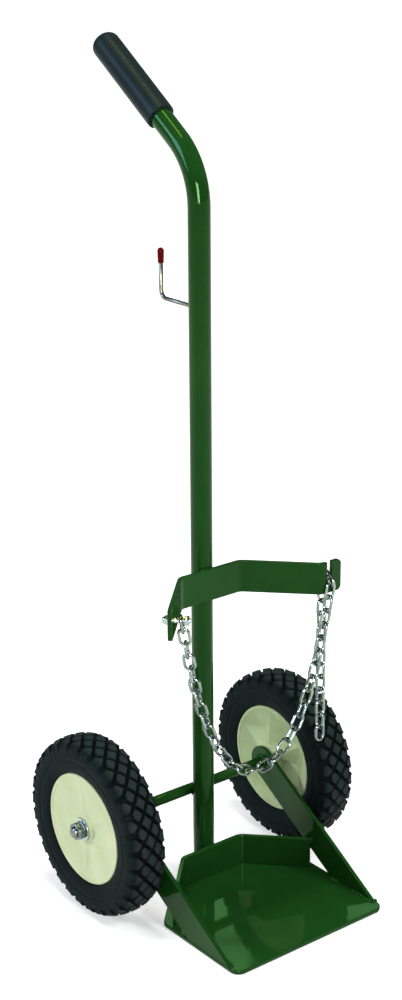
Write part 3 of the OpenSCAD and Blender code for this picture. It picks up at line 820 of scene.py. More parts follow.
@dataclass
class Post:
    """Bent tube with its grip."""

    palette: Palette
    radius: float = 12.5 * MM
    wall: float = 2.0 * MM
    straight: float = 804.0 * MM
    bend_r: float = 84.5 * MM
    turn: float = math.radians(55.2)
    neck: float = 35.0 * MM
    grip_len: float = 128.0 * MM
    grip_r: float = 16.1 * MM
    grip_end: float = 10.0 * MM
    grip_round: float = 9.6 * MM
    grip_play: float = 0.1 * MM
    grip_dot: float = 3.0 * MM
    mouth: float = 1.1 * MM
    swell: float = 0.15 * MM
    swell_len: float = 4.0 * MM
    lip: float = 0.7 * MM
    rise_steps: int = 12
    bend_steps: int = 28
    neck_steps: int = 4
    round_steps: int = 72

    @property
    def axis_y(self) -> float:
        """Y of the upright axis."""
        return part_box("post_tube")[0].y + self.radius

    @property
    def bend_centre(self) -> Vector:
        """Centre of the bend."""
        return Vector((0, self.axis_y + self.bend_r, self.straight))

    @property
    def neck_start(self) -> Vector:
        """End of the bend on the centre line."""
        spoke = Vector((0, -math.cos(self.turn), math.sin(self.turn)))
        return self.bend_centre + self.bend_r * spoke

    @property
    def handle_axis(self) -> Vector:
        """Direction of the handle."""
        return Vector((0, math.sin(self.turn), math.cos(self.turn)))

    def centre_line(self) -> list[Vector]:
        """Points of the tube's centre line, from the foot to the end inside the grip."""
        foot = Vector((0, self.axis_y, 0))
        start = Vector((0, self.axis_y, self.straight))
        rise = [foot.lerp(start, k / self.rise_steps) for k in range(self.rise_steps)]
        bend = arc_points(self.bend_centre, start, Vector((-1, 0, 0)), self.turn, self.bend_steps)
        reach = (self.neck + self.grip_len - self.grip_end) * self.handle_axis
        tail = [bend[-1] + reach * k / self.neck_steps for k in range(1, self.neck_steps + 1)]
        return rise + bend + tail

    def build_tube(self) -> None:
        """Makes the tube with its bore and rounded foot."""
        path = self.centre_line()
        foot, up, across = path[0], Vector((0, 0, 1)), Vector((1, 0, 0))
        edge = 0.3 * self.lip
        outer = [foot, foot + up * edge, foot + up * self.lip] + path[1:]
        outer_r = [self.radius - self.lip, self.radius - edge] + [self.radius] * (len(outer) - 2)
        steps = self.round_steps
        skin = swept(outer, outer_r, steps, across)
        bore = swept(path, [self.radius - self.wall] * len(path), steps, across)
        verts, faces = joined([skin, bore])
        first_bore = len(skin[0])
        last_skin, last_bore = first_bore - steps, len(verts) - steps
        for k in range(steps):
            on = (k + 1) % steps
            faces.append((k, on, first_bore + on, first_bore + k))
            faces.append((last_skin + k, last_skin + on, last_bore + on, last_bore + k))
        tube = mesh_object("post", verts, faces)
        dress(tube, self.palette.enamel, "frame", "green_paint", "post_tube")

    def build_grip(self) -> None:
        """Makes the sleeve with its rolled mouth and rounded end."""
        bore = self.radius + self.grip_play
        mouth, swell, end, ball = self.mouth, self.swell, self.grip_len, self.grip_round
        section = [(bore, end - self.grip_end), (bore, mouth)]
        for k in range(5):
            angle = math.pi * (1.0 - k / 4)
            roll = bore + mouth + mouth * math.cos(angle)
            section.append((roll, mouth - mouth * math.sin(angle)))
        section.append((self.grip_r - 2 * swell, 0.25 * mouth))
        section.append((self.grip_r - swell, mouth))
        for k in range(1, 7):
            section.append((self.grip_r - swell * (1 - k / 6), mouth + self.swell_len * k / 6))
        section.extend((self.grip_r, (end - ball) * k / 12) for k in range(2, 13))
        for k in range(1, 13):
            angle = math.pi / 2 * k / 12
            nose = self.grip_r - ball + ball * math.cos(angle)
            section.append((nose, end - ball + ball * math.sin(angle)))
        section.extend([(self.grip_dot, end), (CORE, end), (CORE, end - self.grip_end)])
        place = along_axis(self.neck_start + self.neck * self.handle_axis, self.handle_axis)
        sleeve = mesh_object("grip", *placed(turned(section, self.round_steps), place))
        dress(sleeve, self.palette.grip, "frame", "grip_black", "handle_grip")

    def build(self) -> None:
        """Makes the tube and the grip."""
        self.build_tube()
        self.build_grip()


@dataclass
class HoseHook:
    """Wire hook behind the post with its dipped cap."""

    palette: Palette
    wire_r: float = 2.4 * MM
    bend_r: float = 9.0 * MM
    tip: float = 0.4 * MM
    lid: float = 0.01 * MM
    cap_wall: float = 1.2 * MM
    cap_mouth: float = 0.3 * MM
    cap_swell: float = 0.35 * MM
    bend_steps: int = 14
    wire_steps: int = 32
    cap_steps: int = 40

    def build(self) -> None:
        """Makes the wire and the cap."""
        low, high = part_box("hook_rod")
        run_z = low.z + self.wire_r
        upright_y = high.y - self.wire_r
        corner = Vector((0, upright_y - self.bend_r, run_z + self.bend_r))
        start = Vector((0, low.y, run_z))
        bend = arc_points(
            corner, Vector((0, corner.y, run_z)), Vector((1, 0, 0)), math.pi / 2, self.bend_steps
        )
        end = Vector((0, upright_y, high.z))
        path = [start, start + Vector((0, self.tip, 0)), *bend, end, end + Vector((0, 0, self.lid))]
        radii = [CORE] + [self.wire_r] * (len(path) - 2) + [CORE]
        wire = mesh_object("hook_wire", *swept(path, radii, self.wire_steps, Vector((1, 0, 0))))
        dress(wire, self.palette.hook_zinc, "frame", "zinc_plate", "hook_rod")
        self.build_cap(upright_y)

    def build_cap(self, upright_y: float) -> None:
        """Makes the cap as a dipped bead with a round end, a little thinner at its mouth.

        Args:
            upright_y: Y of the upright of the hook.
        """
        low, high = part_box("hook_cap")
        outer = (high.x - low.x) / 2
        bore = outer - self.cap_wall
        length = high.z - low.z
        section = [
            (bore, length - self.cap_wall),
            (bore, self.cap_mouth),
            (bore + 0.5 * self.cap_wall, 0.0),
            (outer - self.cap_swell, self.cap_swell),
        ]
        for k in range(1, 8):
            share = k / 7
            thin = self.cap_swell * (1 - math.sin(math.pi / 2 * share))
            section.append((outer - thin, share * (length - outer)))
        for k in range(1, 11):
            angle = math.pi / 2 * k / 10
            radius = max(outer * math.cos(angle), CORE)
            section.append((radius, length - outer + outer * math.sin(angle)))
        section.append((CORE, length - self.cap_wall))
        place = Matrix.Translation((0, upright_y, low.z))
        cap = mesh_object("hook_dip", *placed(turned(section, self.cap_steps), place))
        dress(cap, self.palette.cap, "frame", "cap_red", "hook_cap")


@dataclass
class FlatWork:
    """Plate, backstop, bracket, braces and axle, with softened edges."""

    palette: Palette
    bar_edge: float = 0.95 * MM
    plate_edge: float = 1.2 * MM
    thread: float = 0.45 * MM
    thread_pitch: float = 1.6 * MM
    thread_len: float = 16.0 * MM
    crest: float = 0.3
    root: float = 0.8
    axle_steps: int = 48

    def build(self) -> None:
        """Makes every painted flat piece and the axle."""
        for node in ("cylinder_bracket", "backstop", "brace_left", "brace_right"):
            piece = softened_copy(node, self.bar_edge)
            dress(piece, self.palette.enamel, "frame", "green_paint", node)
        plate = softened_copy("base_plate", self.plate_edge)
        dress(plate, self.palette.enamel, "frame", "green_paint", "base_plate")
        self.build_axle()

    def build_axle(self) -> None:
        """Makes the painted axle and its bare threaded ends."""
        low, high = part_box("axle_rod")
        radius = (high.z - low.z) / 2
        half = (high.x - low.x) / 2
        painted = half - self.thread_len
        centre = Vector((0, (low.y + high.y) / 2, (low.z + high.z) / 2))
        bar = [(CORE, -painted), (radius, -painted), (radius, painted), (CORE, painted)]
        place = along_axis(centre, Vector((1, 0, 0)))
        axle = mesh_object("axle", *placed(turned(bar, self.axle_steps), place))
        dress(axle, self.palette.enamel, "frame", "green_paint", "axle_rod")
        tip = [(CORE, painted), (radius, painted)]
        for k in range(int(self.thread_len / self.thread_pitch) - 1):
            start = painted + self.thread_pitch * k
            tip.append((radius, start + self.crest * self.thread_pitch))
            tip.append((radius - self.thread, start + self.root * self.thread_pitch))
        tip.extend([(radius - 2 * self.thread, half), (CORE, half)])
        for side in Side:
            place = along_axis(centre, Vector((side.sign, 0, 0)))
            grid = placed(turned(tip, self.axle_steps), place)
            piece = mesh_object("axle_thread_" + side.value, *grid)
            dress(piece, self.palette.dull_zinc, "frame", "zinc_plate")


@dataclass
class HexNut:
    """Chamfered hexagon nut, or a domed bolt head."""

    flats: float
    height: float
    bore: float
    dome: float = 0.0
    flat_share: float = 0.93
    seat_share: float = 0.985
    seat_edge: float = 0.25 * MM
    top_edge: float = 0.2 * MM
    top_fall: float = 0.02 * MM
    bore_edge: float = 0.35 * MM
    ball_share: float = 0.44
    chamfer: float = math.radians(28)
    chamfer_drop: float = 0.1 * MM

    def grid(self, steps: int = 72) -> Grid:
        """Vertices and faces of the nut along +Z from its seat.

        Args:
            steps: Number of faces round the axis.

        Returns:
            Vertices and faces.
        """
        inner = self.flats / 2 * self.flat_share
        rows: list[Callable[[float], tuple[float, float]]] = [
            lambda r: (self.bore, 0.0),
            lambda r: (r * self.seat_share, 0.0),
            lambda r: (r, self.seat_edge),
            lambda r: (r, self.height - self.fall(r, inner)),
            lambda r: (inner, self.height - self.top_fall),
            lambda r: (inner - self.top_edge, self.height),
        ]
        if self.dome > 0.0:
            ball = self.ball_share * self.flats
            base = self.height + self.dome - ball
            first = math.asin((self.height - base) / ball)
            for k in range(9):
                lift = first + (math.pi / 2 - first) * k / 8
                spot = (max(ball * math.cos(lift), self.bore), base + ball * math.sin(lift))
                rows.append(lambda r, spot=spot: spot)
        else:
            rows.append(lambda r: (self.bore + self.bore_edge, self.height))
            rows.append(lambda r: (self.bore, self.height - self.bore_edge))
        verts: list[Place] = []
        for row in rows:
            for k in range(steps):
                angle = 2 * math.pi * k / steps
                sector = (angle + math.pi / 6) % (math.pi / 3) - math.pi / 6
                radius, height = row(self.flats / 2 / math.cos(sector))
                verts.append((radius * math.cos(angle), radius * math.sin(angle), height))
        return verts, grid_faces(len(rows), steps, closed_rows=True)

    def fall(self, r: float, inner: float) -> float:
        """Drop of the chamfer at a radius.

        Args:
            r: Radius on the hexagon.
            inner: Radius at which the chamfer starts.

        Returns:
            Drop below the top.
        """
        return max(r - inner, 0.0) * math.tan(self.chamfer) + self.chamfer_drop


def washer_grid(
    outer: float, bore: float, thick: float, edge: float = 0.35 * MM, steps: int = 64
) -> Grid:
    """Washer with rounded edges along +Z.

    Args:
        outer: Outside radius.
        bore: Radius of the hole.
        thick: Thickness.
        edge: Rounding.
        steps: Number of faces round the axis.

    Returns:
        Vertices and faces.
    """
    cut = 0.3 * edge
    section = [
        (bore, edge),
        (bore + edge, 0.0),
        (outer - edge, 0.0),
        (outer - cut, cut),
        (outer, edge),
        (outer, thick - edge),
        (outer - cut, thick - cut),
        (outer - edge, thick),
        (bore + edge, thick),
        (bore, thick - edge),
    ]
    return turned(section, steps)


@dataclass
class Chain:
    """Loop, slot link and tail, with their bolt and nut."""

    palette: Palette
    wire: float = 3.4 * MM
    gap: float = 8.0 * MM
    inside: float = 16.3 * MM
    bow_share: float = 0.499
    weld_swell: float = 0.14
    weld_at: float = 0.26
    weld_narrow: float = 2600.0
    corner_steps: int = 10
    link_steps: int = 56
    wire_steps: int = 14
    bolt_flats: float = 10.0 * MM
    bolt_head: float = 5.0 * MM
    bolt_dome: float = 3.8 * MM
    bolt_r: float = 3.0 * MM
    bolt_core: float = 0.05 * MM
    bolt_sink: float = 0.5 * MM
    bolt_plain: float = 9.0 * MM
    bolt_thread: float = 0.35 * MM
    bolt_pitch: float = 1.0 * MM
    bolt_root: float = 0.45
    bolt_crest: float = 0.95
    bolt_steps: int = 36
    nut_play: float = 0.02 * MM

    def link_places(self, node: str) -> list[tuple[Vector, Matrix]]:
        """Centre and turn of each link of a solid, read from its loose parts.

        Args:
            node: Solid that holds the links.

        Returns:
            Centre and a matrix whose columns are the link's width, length and normal.
        """
        places: list[tuple[Vector, Matrix]] = []
        for points in loose_parts(node):
            centre = self.middle(points)
            _, axes = np.linalg.eigh(np.cov((points - centre).T))
            width, length = Vector(axes[:, 1]), Vector(axes[:, 2])
            turn = Matrix((width, length, width.cross(length))).transposed()
            places.append((Vector(centre), turn))
        return places

    @staticmethod
    def middle(points: np.ndarray) -> np.ndarray:
        """Middle of a link between the farthest points along its own axes.

        Args:
            points: Vertices of the link.

        Returns:
            The centre.
        """
        mean = points.mean(0)
        _, axes = np.linalg.eigh(np.cov((points - mean).T))
        local = (points - mean) @ axes
        return mean + axes @ ((local.min(0) + local.max(0)) / 2)

    def link_tree(self) -> bpy.types.NodeTree:
        """Geometry nodes that put a wire link on every point, turned by the point's own angles."""
        names = ("Wire", "Gap", "Inside", "Weld Swell")
        desk, given = new_tree("chain_links", dict.fromkeys(names, "Float"))
        width = desk.sums(given["Gap"], given["Wire"], "ADD")
        length = desk.sums(given["Inside"], given["Wire"], "ADD")
        outline = desk.add(
            "GeometryNodeCurvePrimitiveQuadrilateral", {"Width": width, "Height": length}
        )
        bow = desk.sums(width, self.bow_share, "MULTIPLY")
        corners = {"Curve": outline.outputs[0], "Radius": bow, "Count": self.corner_steps}
        rounded = desk.add("GeometryNodeFilletCurve", corners, mode="POLY")
        even = desk.add(
            "GeometryNodeResampleCurve", {"Curve": rounded.outputs[0], "Count": self.link_steps}
        )
        along = desk.add("GeometryNodeSplineParameter").outputs["Factor"]
        apart = desk.sums(along, self.weld_at, "SUBTRACT")
        near = desk.sums(desk.sums(apart, apart, "MULTIPLY"), -self.weld_narrow, "MULTIPLY")
        nub = desk.sums(desk.sums(math.e, near, "POWER"), given["Weld Swell"], "MULTIPLY")
        ring = desk.add(
            "GeometryNodeCurvePrimitiveCircle",
            {"Resolution": self.wire_steps, "Radius": desk.sums(given["Wire"], 0.5, "MULTIPLY")},
        )
        wire = desk.add(
            "GeometryNodeCurveToMesh",
            {
                "Curve": even.outputs[0],
                "Profile Curve": ring.outputs[0],
                "Scale": desk.sums(nub, 1.0, "ADD"),
            },
        )
        turn = desk.add(
            "GeometryNodeInputNamedAttribute", {"Name": "link_turn"}, data_type="FLOAT_VECTOR"
        )
        angles = desk.add("FunctionNodeEulerToRotation", {0: turn.outputs["Attribute"]})
        copies = desk.add(
            "GeometryNodeInstanceOnPoints",
            {
                "Points": given["Geometry"],
                "Instance": wire.outputs[0],
                "Rotation": angles.outputs[0],
            },
        )
        return end_tree(desk, copies, given["Finish"])

    def build_links(self, name: str, node: str, body: str, tree: bpy.types.NodeTree) -> None:
        """Makes the links of one solid.

        Args:
            name: Name of the new piece.
            node: Solid that it stands for.
            body: Body that it rides on.
            tree: Geometry nodes of the links.
        """
        places = self.link_places(node)
        mesh = bpy.data.meshes.new(name)
        mesh.from_pydata([tuple(p) for p, _ in places], [], [])
        turns = mesh.attributes.new("link_turn", "FLOAT_VECTOR", "POINT")
        for item, (_, matrix) in zip(turns.data, places):
            item.vector = matrix.to_euler("XYZ")[:]
        sizes = {
            "Wire": self.wire,
            "Gap": self.gap,
            "Inside": self.inside,
            "Weld Swell": self.weld_swell,
            "Finish": self.palette.chain,
        }
        dress(grown(mesh, tree, sizes), self.palette.chain, body, "zinc_chain", node)

    def build_bolt(self) -> None:
        """Makes the bolt with its domed head and thread, and the nut."""
        bolt, nut = node_points("chain_bolt"), node_points("chain_nut")
        middle = (nut.max(0) + nut.min(0)) / 2
        level = (middle - (bolt.max(0) + bolt.min(0)) / 2)[:2]
        axis = Vector((*level, 0.0)).normalized()
        bolt_reach, nut_reach = (bolt - middle) @ np.array(axis), (nut - middle) @ np.array(axis)
        end = float(bolt_reach.max())
        origin = Vector(middle)
        seat = float(bolt_reach.min()) + self.bolt_head + self.bolt_dome
        start, thread_from = seat - self.bolt_sink, seat + self.bolt_plain
        section = [(CORE, start), (self.bolt_r, start), (self.bolt_r, thread_from)]
        for k in range(int((end - thread_from) / self.bolt_pitch)):
            root = thread_from + self.bolt_pitch * (k + self.bolt_root)
            crest = thread_from + self.bolt_pitch * (k + self.bolt_crest)
            section.extend([(self.bolt_r - self.bolt_thread, root), (self.bolt_r, crest)])
        section.extend([(self.bolt_r - 2 * self.bolt_thread, end), (CORE, end)])
        shank = placed(turned(section, self.bolt_steps), along_axis(origin, axis))
        domed = HexNut(self.bolt_flats, self.bolt_head, self.bolt_core, dome=self.bolt_dome).grid()
        cap = placed(domed, along_axis(origin + seat * axis, -axis))
        bolt_piece = mesh_object("arm_bolt", *joined([shank, cap]))
        dress(bolt_piece, self.palette.zinc, "frame", "zinc_plate", "chain_bolt")
        low, high = float(nut_reach.min()), float(nut_reach.max())
        ring = HexNut(self.bolt_flats, high - low, self.bolt_r + self.nut_play).grid()
        nut_piece = mesh_object("arm_nut", *placed(ring, along_axis(origin + low * axis, axis)))
        dress(nut_piece, self.palette.zinc, "frame", "zinc_plate", "chain_nut")

    def build(self) -> None:
        """Makes the chain and its bolt."""
        tree = self.link_tree()
        self.build_links("loop_links", "chain_loop", "loop_chain", tree)
        self.build_links("slot_link", "chain_slot_link", "frame", tree)
        self.build_links("tail_links", "chain_tail", "tail_chain", tree)
        self.build_bolt()


@dataclass
class Tyre:
    """Solid tyre with a diamond tread."""

    palette: Palette
    side: Side
    centre: Vector
    radius: float = 107.0 * MM
    half_width: float = 23.0 * MM
    tread_edge: float = 21.5 * MM
    tread_drop: float = 6.2 * MM
    crown_power: float = 2.6
    pitches: int = 30
    diamond: float = 18.0 * MM
    depth: float = 4.0 * MM
    floor_share: float = 0.105
    wall_share: float = 0.06
    corner: float = 5.0
    top_dish: float = 0.9 * MM
    dish_from: float = 0.17
    dish_slope: float = 0.12
    notch_from: float = 15.5 * MM
    notch_share: float = 0.8
    notch_fades: tuple[float, ...] = (0.95, 0.75, 0.45, 0.12)
    notch_in: float = 0.55
    notch_down: float = 0.5
    plain_shade: float = TYRE_RUBBER.plain_level
    lip_r: float = 66.5 * MM
    seat_r: float = 61.4 * MM
    steps: int = 720
    tread_rows: int = 84

    def crown(self, x: np.ndarray) -> np.ndarray:
        """Radius of the tread at a distance from the middle plane.

        Args:
            x: Distances.

        Returns:
            Radii.
        """
        return self.radius - self.tread_drop * (np.abs(x) / self.half_width) ** self.crown_power

    def blocks(self, x: np.ndarray, turn: np.ndarray) -> tuple[np.ndarray, np.ndarray]:
        """Tread pattern: ringed diamonds, plain ground between them and notches at the shoulders.

        Args:
            x: Distances from the middle plane.
            turn: Places round the tyre, in pitches.

        Returns:
            Distance from the middle of the nearest groove, in diamonds, and height, from 0 in a
            groove to 1 on a block.
        """
        across = np.clip(x, -self.diamond, self.diamond) / self.diamond
        one, two = across + turn, across - turn
        ringed = (np.round(one) + np.round(two)) % 2 == 1
        one, two = np.abs(one - np.round(one)), np.abs(two - np.round(two))
        far, near = np.maximum(one, two), np.minimum(one, two)
        far = np.where(ringed, far, 1.0 - far)
        inside = 0.5 - (far**self.corner + near**self.corner) ** (1.0 / self.corner)
        moat = np.abs(inside)
        short = np.clip((self.notch_from - np.abs(x)) / self.diamond, 0.0, 1.0)
        notch = np.abs(turn % 1.0 - 0.5) + short
        gap = np.minimum(moat, self.notch_share * notch)
        rise = np.clip((gap - self.floor_share) / self.wall_share, 0.0, 1.0)
        return gap, rise * rise * (3.0 - 2.0 * rise)

    def groove(self, x: np.ndarray, turn: np.ndarray) -> np.ndarray:
        """Depth of the tread pattern below the crown.

        Args:
            x: Distances from the middle plane.
            turn: Places round the tyre, in pitches.

        Returns:
            Depths.
        """
        gap, height = self.blocks(x, turn)
        dish = self.top_dish * np.clip((gap - self.dish_from) / self.dish_slope, 0.0, 1.0)
        return self.depth * (1.0 - height) + dish * height

    def flank(self) -> list[tuple[float, float]]:
        """Half section from the tread's edge to the seat, as distance and radius."""
        half, top = self.half_width, self.radius
        return [
            (half - 0.85 * MM, top - 6.5 * MM),
            (half - 0.45 * MM, top - 8.4 * MM),
            (half - 0.25 * MM, top - 10.6 * MM),
            (half - 0.10 * MM, top - 13.2 * MM),
            (half, top - 16.2 * MM),
            (half, top - 19.0 * MM),
            (half - 0.05 * MM, top - 21.4 * MM),
            (half - 0.15 * MM, top - 23.0 * MM),
            (half - 0.55 * MM, top - 23.5 * MM),
            (half - 0.60 * MM, top - 24.6 * MM),
            (half - 0.35 * MM, top - 25.2 * MM),
            (half - 0.55 * MM, top - 28.0 * MM),
            (half - 0.95 * MM, top - 31.0 * MM),
            (half - 1.50 * MM, self.lip_r + 5.6 * MM),
            (half - 1.90 * MM, self.lip_r + 4.0 * MM),
            (half - 2.50 * MM, self.lip_r + 2.6 * MM),
            (half - 2.70 * MM, self.lip_r + 1.2 * MM),
            (half - 3.60 * MM, self.lip_r + 0.2 * MM),
            (half - 5.00 * MM, self.lip_r),
            (half - 7.30 * MM, self.lip_r),
            (half - 7.30 * MM, self.seat_r),
        ]

    def build(self) -> None:
        """Makes the tyre as one closed grid."""
        turn = np.arange(self.steps) * self.pitches / self.steps
        angle = 2 * math.pi * np.arange(self.steps) / self.steps
        flank = list(enumerate(self.flank()))
        plain = [np.full(self.steps, self.plain_shade)] * len(flank)
        rows = [self.side_row(-x, r, turn, k) for k, (x, r) in reversed(flank)]
        shades = list(plain)
        shoulder = self.tread_edge - self.notch_from
        for x in np.linspace(-self.tread_edge, self.tread_edge, self.tread_rows + 1):
            place = np.full(self.steps, x)
            rows.append((place, self.crown(place) - self.groove(place, turn)))
            # Painted light and shade of the tread: 0 darkens a groove floor, 1 lightens a block
            # top, and towards the shoulders the tops fall to the plain level.
            out = np.clip((abs(x) - self.notch_from) / shoulder, 0.0, 1.0)
            shades.append((1.0 - self.plain_shade * out) * self.blocks(place, turn)[1])
        rows.extend(self.side_row(x, r, turn, k) for k, (x, r) in flank)
        shades.extend(plain)
        verts: list[Place] = []
        for x, r in rows:
            y = self.centre.y + r * np.cos(angle)
            z = self.centre.z + r * np.sin(angle)
            verts.extend(zip(self.centre.x + x, y, z))
        faces = grid_faces(len(rows), self.steps, closed_rows=True)
        name = self.side.value
        piece = mesh_object("tread_" + name, verts, faces)
        block = piece.data.attributes.new("block", "FLOAT", "POINT")
        block.data.foreach_set("value", np.concatenate(shades))
        dress(piece, self.palette.tyre, "wheel_" + name, "tyre_rubber", "tyre_" + name)

    def side_row(
        self, x: float, r: float, turn: np.ndarray, k: int
    ) -> tuple[np.ndarray, np.ndarray]:
        """One row of the sidewall, into which the shoulder notches fade.

        Args:
            x: Distance from the middle plane.
            r: Radius.
            turn: Places round the tyre, in pitches.
            k: Number of the row, from the tread's edge.

        Returns:
            Distances and radii round the tyre.
        """
        share = self.notch_fades[k] if k < len(self.notch_fades) else 0.0
        notch = share * self.groove(np.full(self.steps, math.copysign(self.diamond, x)), turn)
        inward = np.sign(x) * notch * self.notch_in
        return np.full(self.steps, x) - inward, np.full(self.steps, r) - self.notch_down * notch


@dataclass(frozen=True)
class HubForm:
    """Relief of one hub face: its dish, the flat floor round the boss and the star ridges."""

    dish: float
    floor: float
    ridge: float
    flank: float


HUB_FORMS = {
    Face.OUTER: HubForm(4.0 * MM, 2.0 * MM, 2.5 * MM, math.radians(18)),
    Face.INNER: HubForm(10.0 * MM, 18.0 * MM, 13.5 * MM, math.radians(32)),
}


@dataclass
class HubHalf:
    """One moulded half of a hub, with star ridges on a dished face."""

    palette: Palette
    side: Side
    face: Face
    centre: Vector
    rim_r: float = 66.0 * MM
    seat_r: float = 61.0 * MM
    lip: float = 4.0 * MM
    wall: float = 3.5 * MM
    half: float = 20.0 * MM
    boss_r: float = 18.0 * MM
    boss_edge: float = 0.8 * MM
    boss_foot: float = 1.0 * MM
    first_row: float = 0.3 * MM
    bore_r: float = 9.6 * MM
    seam: float = 0.05 * MM
    lip_edge: float = 1.0 * MM
    tip_sink: float = 0.2 * MM
    ridges: int = 6
    first_ridge: float = math.radians(4.0)
    soft: float = 0.4 * MM
    valley: float = 0.3 * MM
    gate_place: tuple[float, float] = (46.6 * MM, math.radians(26.0))
    gate_r: float = 4.4 * MM
    gate_h: float = 0.7 * MM
    gate_steep: float = 4.0
    gate_dip: float = 0.3
    steps: int = 360
    rows: int = 60

    @property
    def boss_end(self) -> float:
        """End of the boss from the middle plane."""
        low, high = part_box(f"hub_{self.face.value}_{self.side.value}")
        return high.x - low.x + self.seam

    def dished(self, r: np.ndarray | float) -> np.ndarray:
        """Height of the dished face without its ridges.

        Args:
            r: Radii.

        Returns:
            Heights from the middle plane.
        """
        form = HUB_FORMS[self.face]
        land = self.rim_r - self.lip - self.lip_edge
        share = np.clip((land - r) / (land - self.boss_r - form.floor), 0.0, 1.0)
        return self.half - self.lip_edge - (form.dish - self.lip_edge) * share

    def relief(self, r: np.ndarray, angle: np.ndarray) -> np.ndarray:
        """Height of the dished face with its ridges and its gate mark.

        Args:
            r: Radii.
            angle: Angles from straight up.

        Returns:
            Heights from the middle plane.
        """
        form = HUB_FORMS[self.face]
        level = self.dished(r)
        top = self.half - form.dish + form.ridge
        tip_r = self.seat_r - self.wall / 2
        fall = (top - self.dished(tip_r) + self.tip_sink) / (tip_r - self.boss_r)
        sector = 2 * math.pi / self.ridges
        off = (angle - self.first_ridge + sector / 2) % sector - sector / 2
        beside = np.sqrt((r * np.sin(off)) ** 2 + self.soft**2) - self.soft
        roof = top - fall * (r * np.cos(off) - self.boss_r) - math.tan(form.flank) * beside
        high = np.maximum(level, roof)
        apart = np.exp((level - high) / self.valley) + np.exp((roof - high) / self.valley)
        return high + self.valley * np.log(apart) + self.gate(r, angle)

    def gate(self, r: np.ndarray, angle: np.ndarray) -> np.ndarray:
        """Height of the round mark that the mould's gate leaves on the inner face.

        Args:
            r: Radii.
            angle: Angles from straight up.

        Returns:
            Heights above the face.
        """
        if self.face is Face.OUTER:
            return np.zeros_like(r)
        far, turn = self.gate_place
        away = np.sqrt(r**2 + far**2 - 2 * r * far * np.cos(angle - turn)) / self.gate_r
        wall = np.clip(self.gate_steep * (1.0 - away), 0.0, 1.0)
        return self.gate_h * wall * np.clip(self.gate_dip + away, 0.0, 1.0)

    def build(self) -> None:
        """Makes the closed shell of the half."""
        angle = 2 * math.pi * np.arange(self.steps) / self.steps
        ones = np.ones(self.steps)
        end, edge = self.boss_end, self.boss_edge
        land = self.rim_r - self.lip
        boss = [
            (self.bore_r, self.seam),
            (self.bore_r, end),
            (self.boss_r - edge, end),
            (self.boss_r, end - edge),
        ]
        rows = [(r * ones, x * ones) for r, x in boss]
        for r in np.linspace(self.boss_r + self.first_row, land - self.lip_edge, self.rows):
            height = self.relief(r * ones, angle)
            if r < self.boss_r + self.boss_foot:
                height = np.minimum(height, end - edge)
            rows.append((r * ones, height))
        rim = [
            (land - 0.4 * MM, self.half - 0.45 * MM),
            (land, self.half - 0.1 * MM),
            (land + 0.4 * MM, self.half),
            (self.rim_r - self.lip_edge, self.half),
            (self.rim_r - 0.3 * self.lip_edge, self.half - 0.3 * self.lip_edge),
            (self.rim_r, self.half - self.lip_edge),
            (self.rim_r, self.half - self.lip),
            (self.seat_r, self.half - self.lip),
            (self.seat_r, self.seam),
        ]
        rows.extend((r * ones, x * ones) for r, x in rim)
        out = self.side.sign * (1 if self.face is Face.OUTER else -1)
        verts: list[Place] = []
        for r, x in rows:
            y = self.centre.y + r * np.sin(angle)
            z = self.centre.z + r * np.cos(angle)
            verts.extend(zip(self.centre.x + out * x, y, z))
        faces = grid_faces(len(rows), self.steps, closed_rows=True)
        name = f"{self.face.value}_{self.side.value}"
        piece = mesh_object("hub_shell_" + name, verts, faces)
        # Inner halves take the darker copy of the cream, which is painted shade.
        finish = self.palette.hub if self.face is Face.OUTER else self.palette.hub_shaded
        dress(piece, finish, "wheel_" + self.side.value, "hub_cream", "hub_" + name)


@dataclass
class Wheel:
    """Tyre, hub halves and bush of one side, with the washers and the nut on the axle."""

    palette: Palette
    side: Side
    axle_r: float = 6.35 * MM
    washer_play: float = 0.05 * MM
    nut_play: float = 0.03 * MM
    nut_flats: float = 19.0 * MM

    def build(self) -> None:
        """Makes the wheel and its fixings."""
        name = self.side.value
        centre = joint_place(f"wheel_{name}_spin")
        Tyre(self.palette, self.side, centre).build()
        for face in Face:
            HubHalf(self.palette, self.side, face, centre).build()
        bush = frame["nodes"]["bush_" + name]
        bush.data.materials.clear()
        bush.data.materials.append(self.palette.bush)
        log.info("bush_%s keeps its solid", name)
        self.build_fixings(centre)

    def seat(self, node: str, centre: Vector) -> Matrix:
        """Placement of a fixing whose Z points outwards from its inner face.

        Args:
            node: Solid of the fixing.
            centre: Point on the wheel's axis.

        Returns:
            The matrix.
        """
        low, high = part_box(node)
        start = low.x if self.side is Side.RIGHT else high.x
        return along_axis(Vector((start, centre.y, centre.z)), Vector((self.side.sign, 0, 0)))

    def build_fixings(self, centre: Vector) -> None:
        """Makes both washers and the nut.

        Args:
            centre: Point on the wheel's axis.
        """
        name = self.side.value
        for kind in ("inner", "outer"):
            node = f"{kind}_washer_{name}"
            low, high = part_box(node)
            grid = washer_grid((high.z - low.z) / 2, self.axle_r + self.washer_play, high.x - low.x)
            washer = mesh_object(f"{kind}_ring_{name}", *placed(grid, self.seat(node, centre)))
            dress(washer, self.palette.zinc, "frame", "zinc_plate", node)
        node = "axle_nut_" + name
        low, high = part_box(node)
        grid = HexNut(self.nut_flats, high.x - low.x, self.axle_r + self.nut_play).grid()
        nut = mesh_object("hex_" + node, *placed(grid, self.seat(node, centre)))
        dress(nut, self.palette.dull_zinc, "frame", "zinc_plate", node)


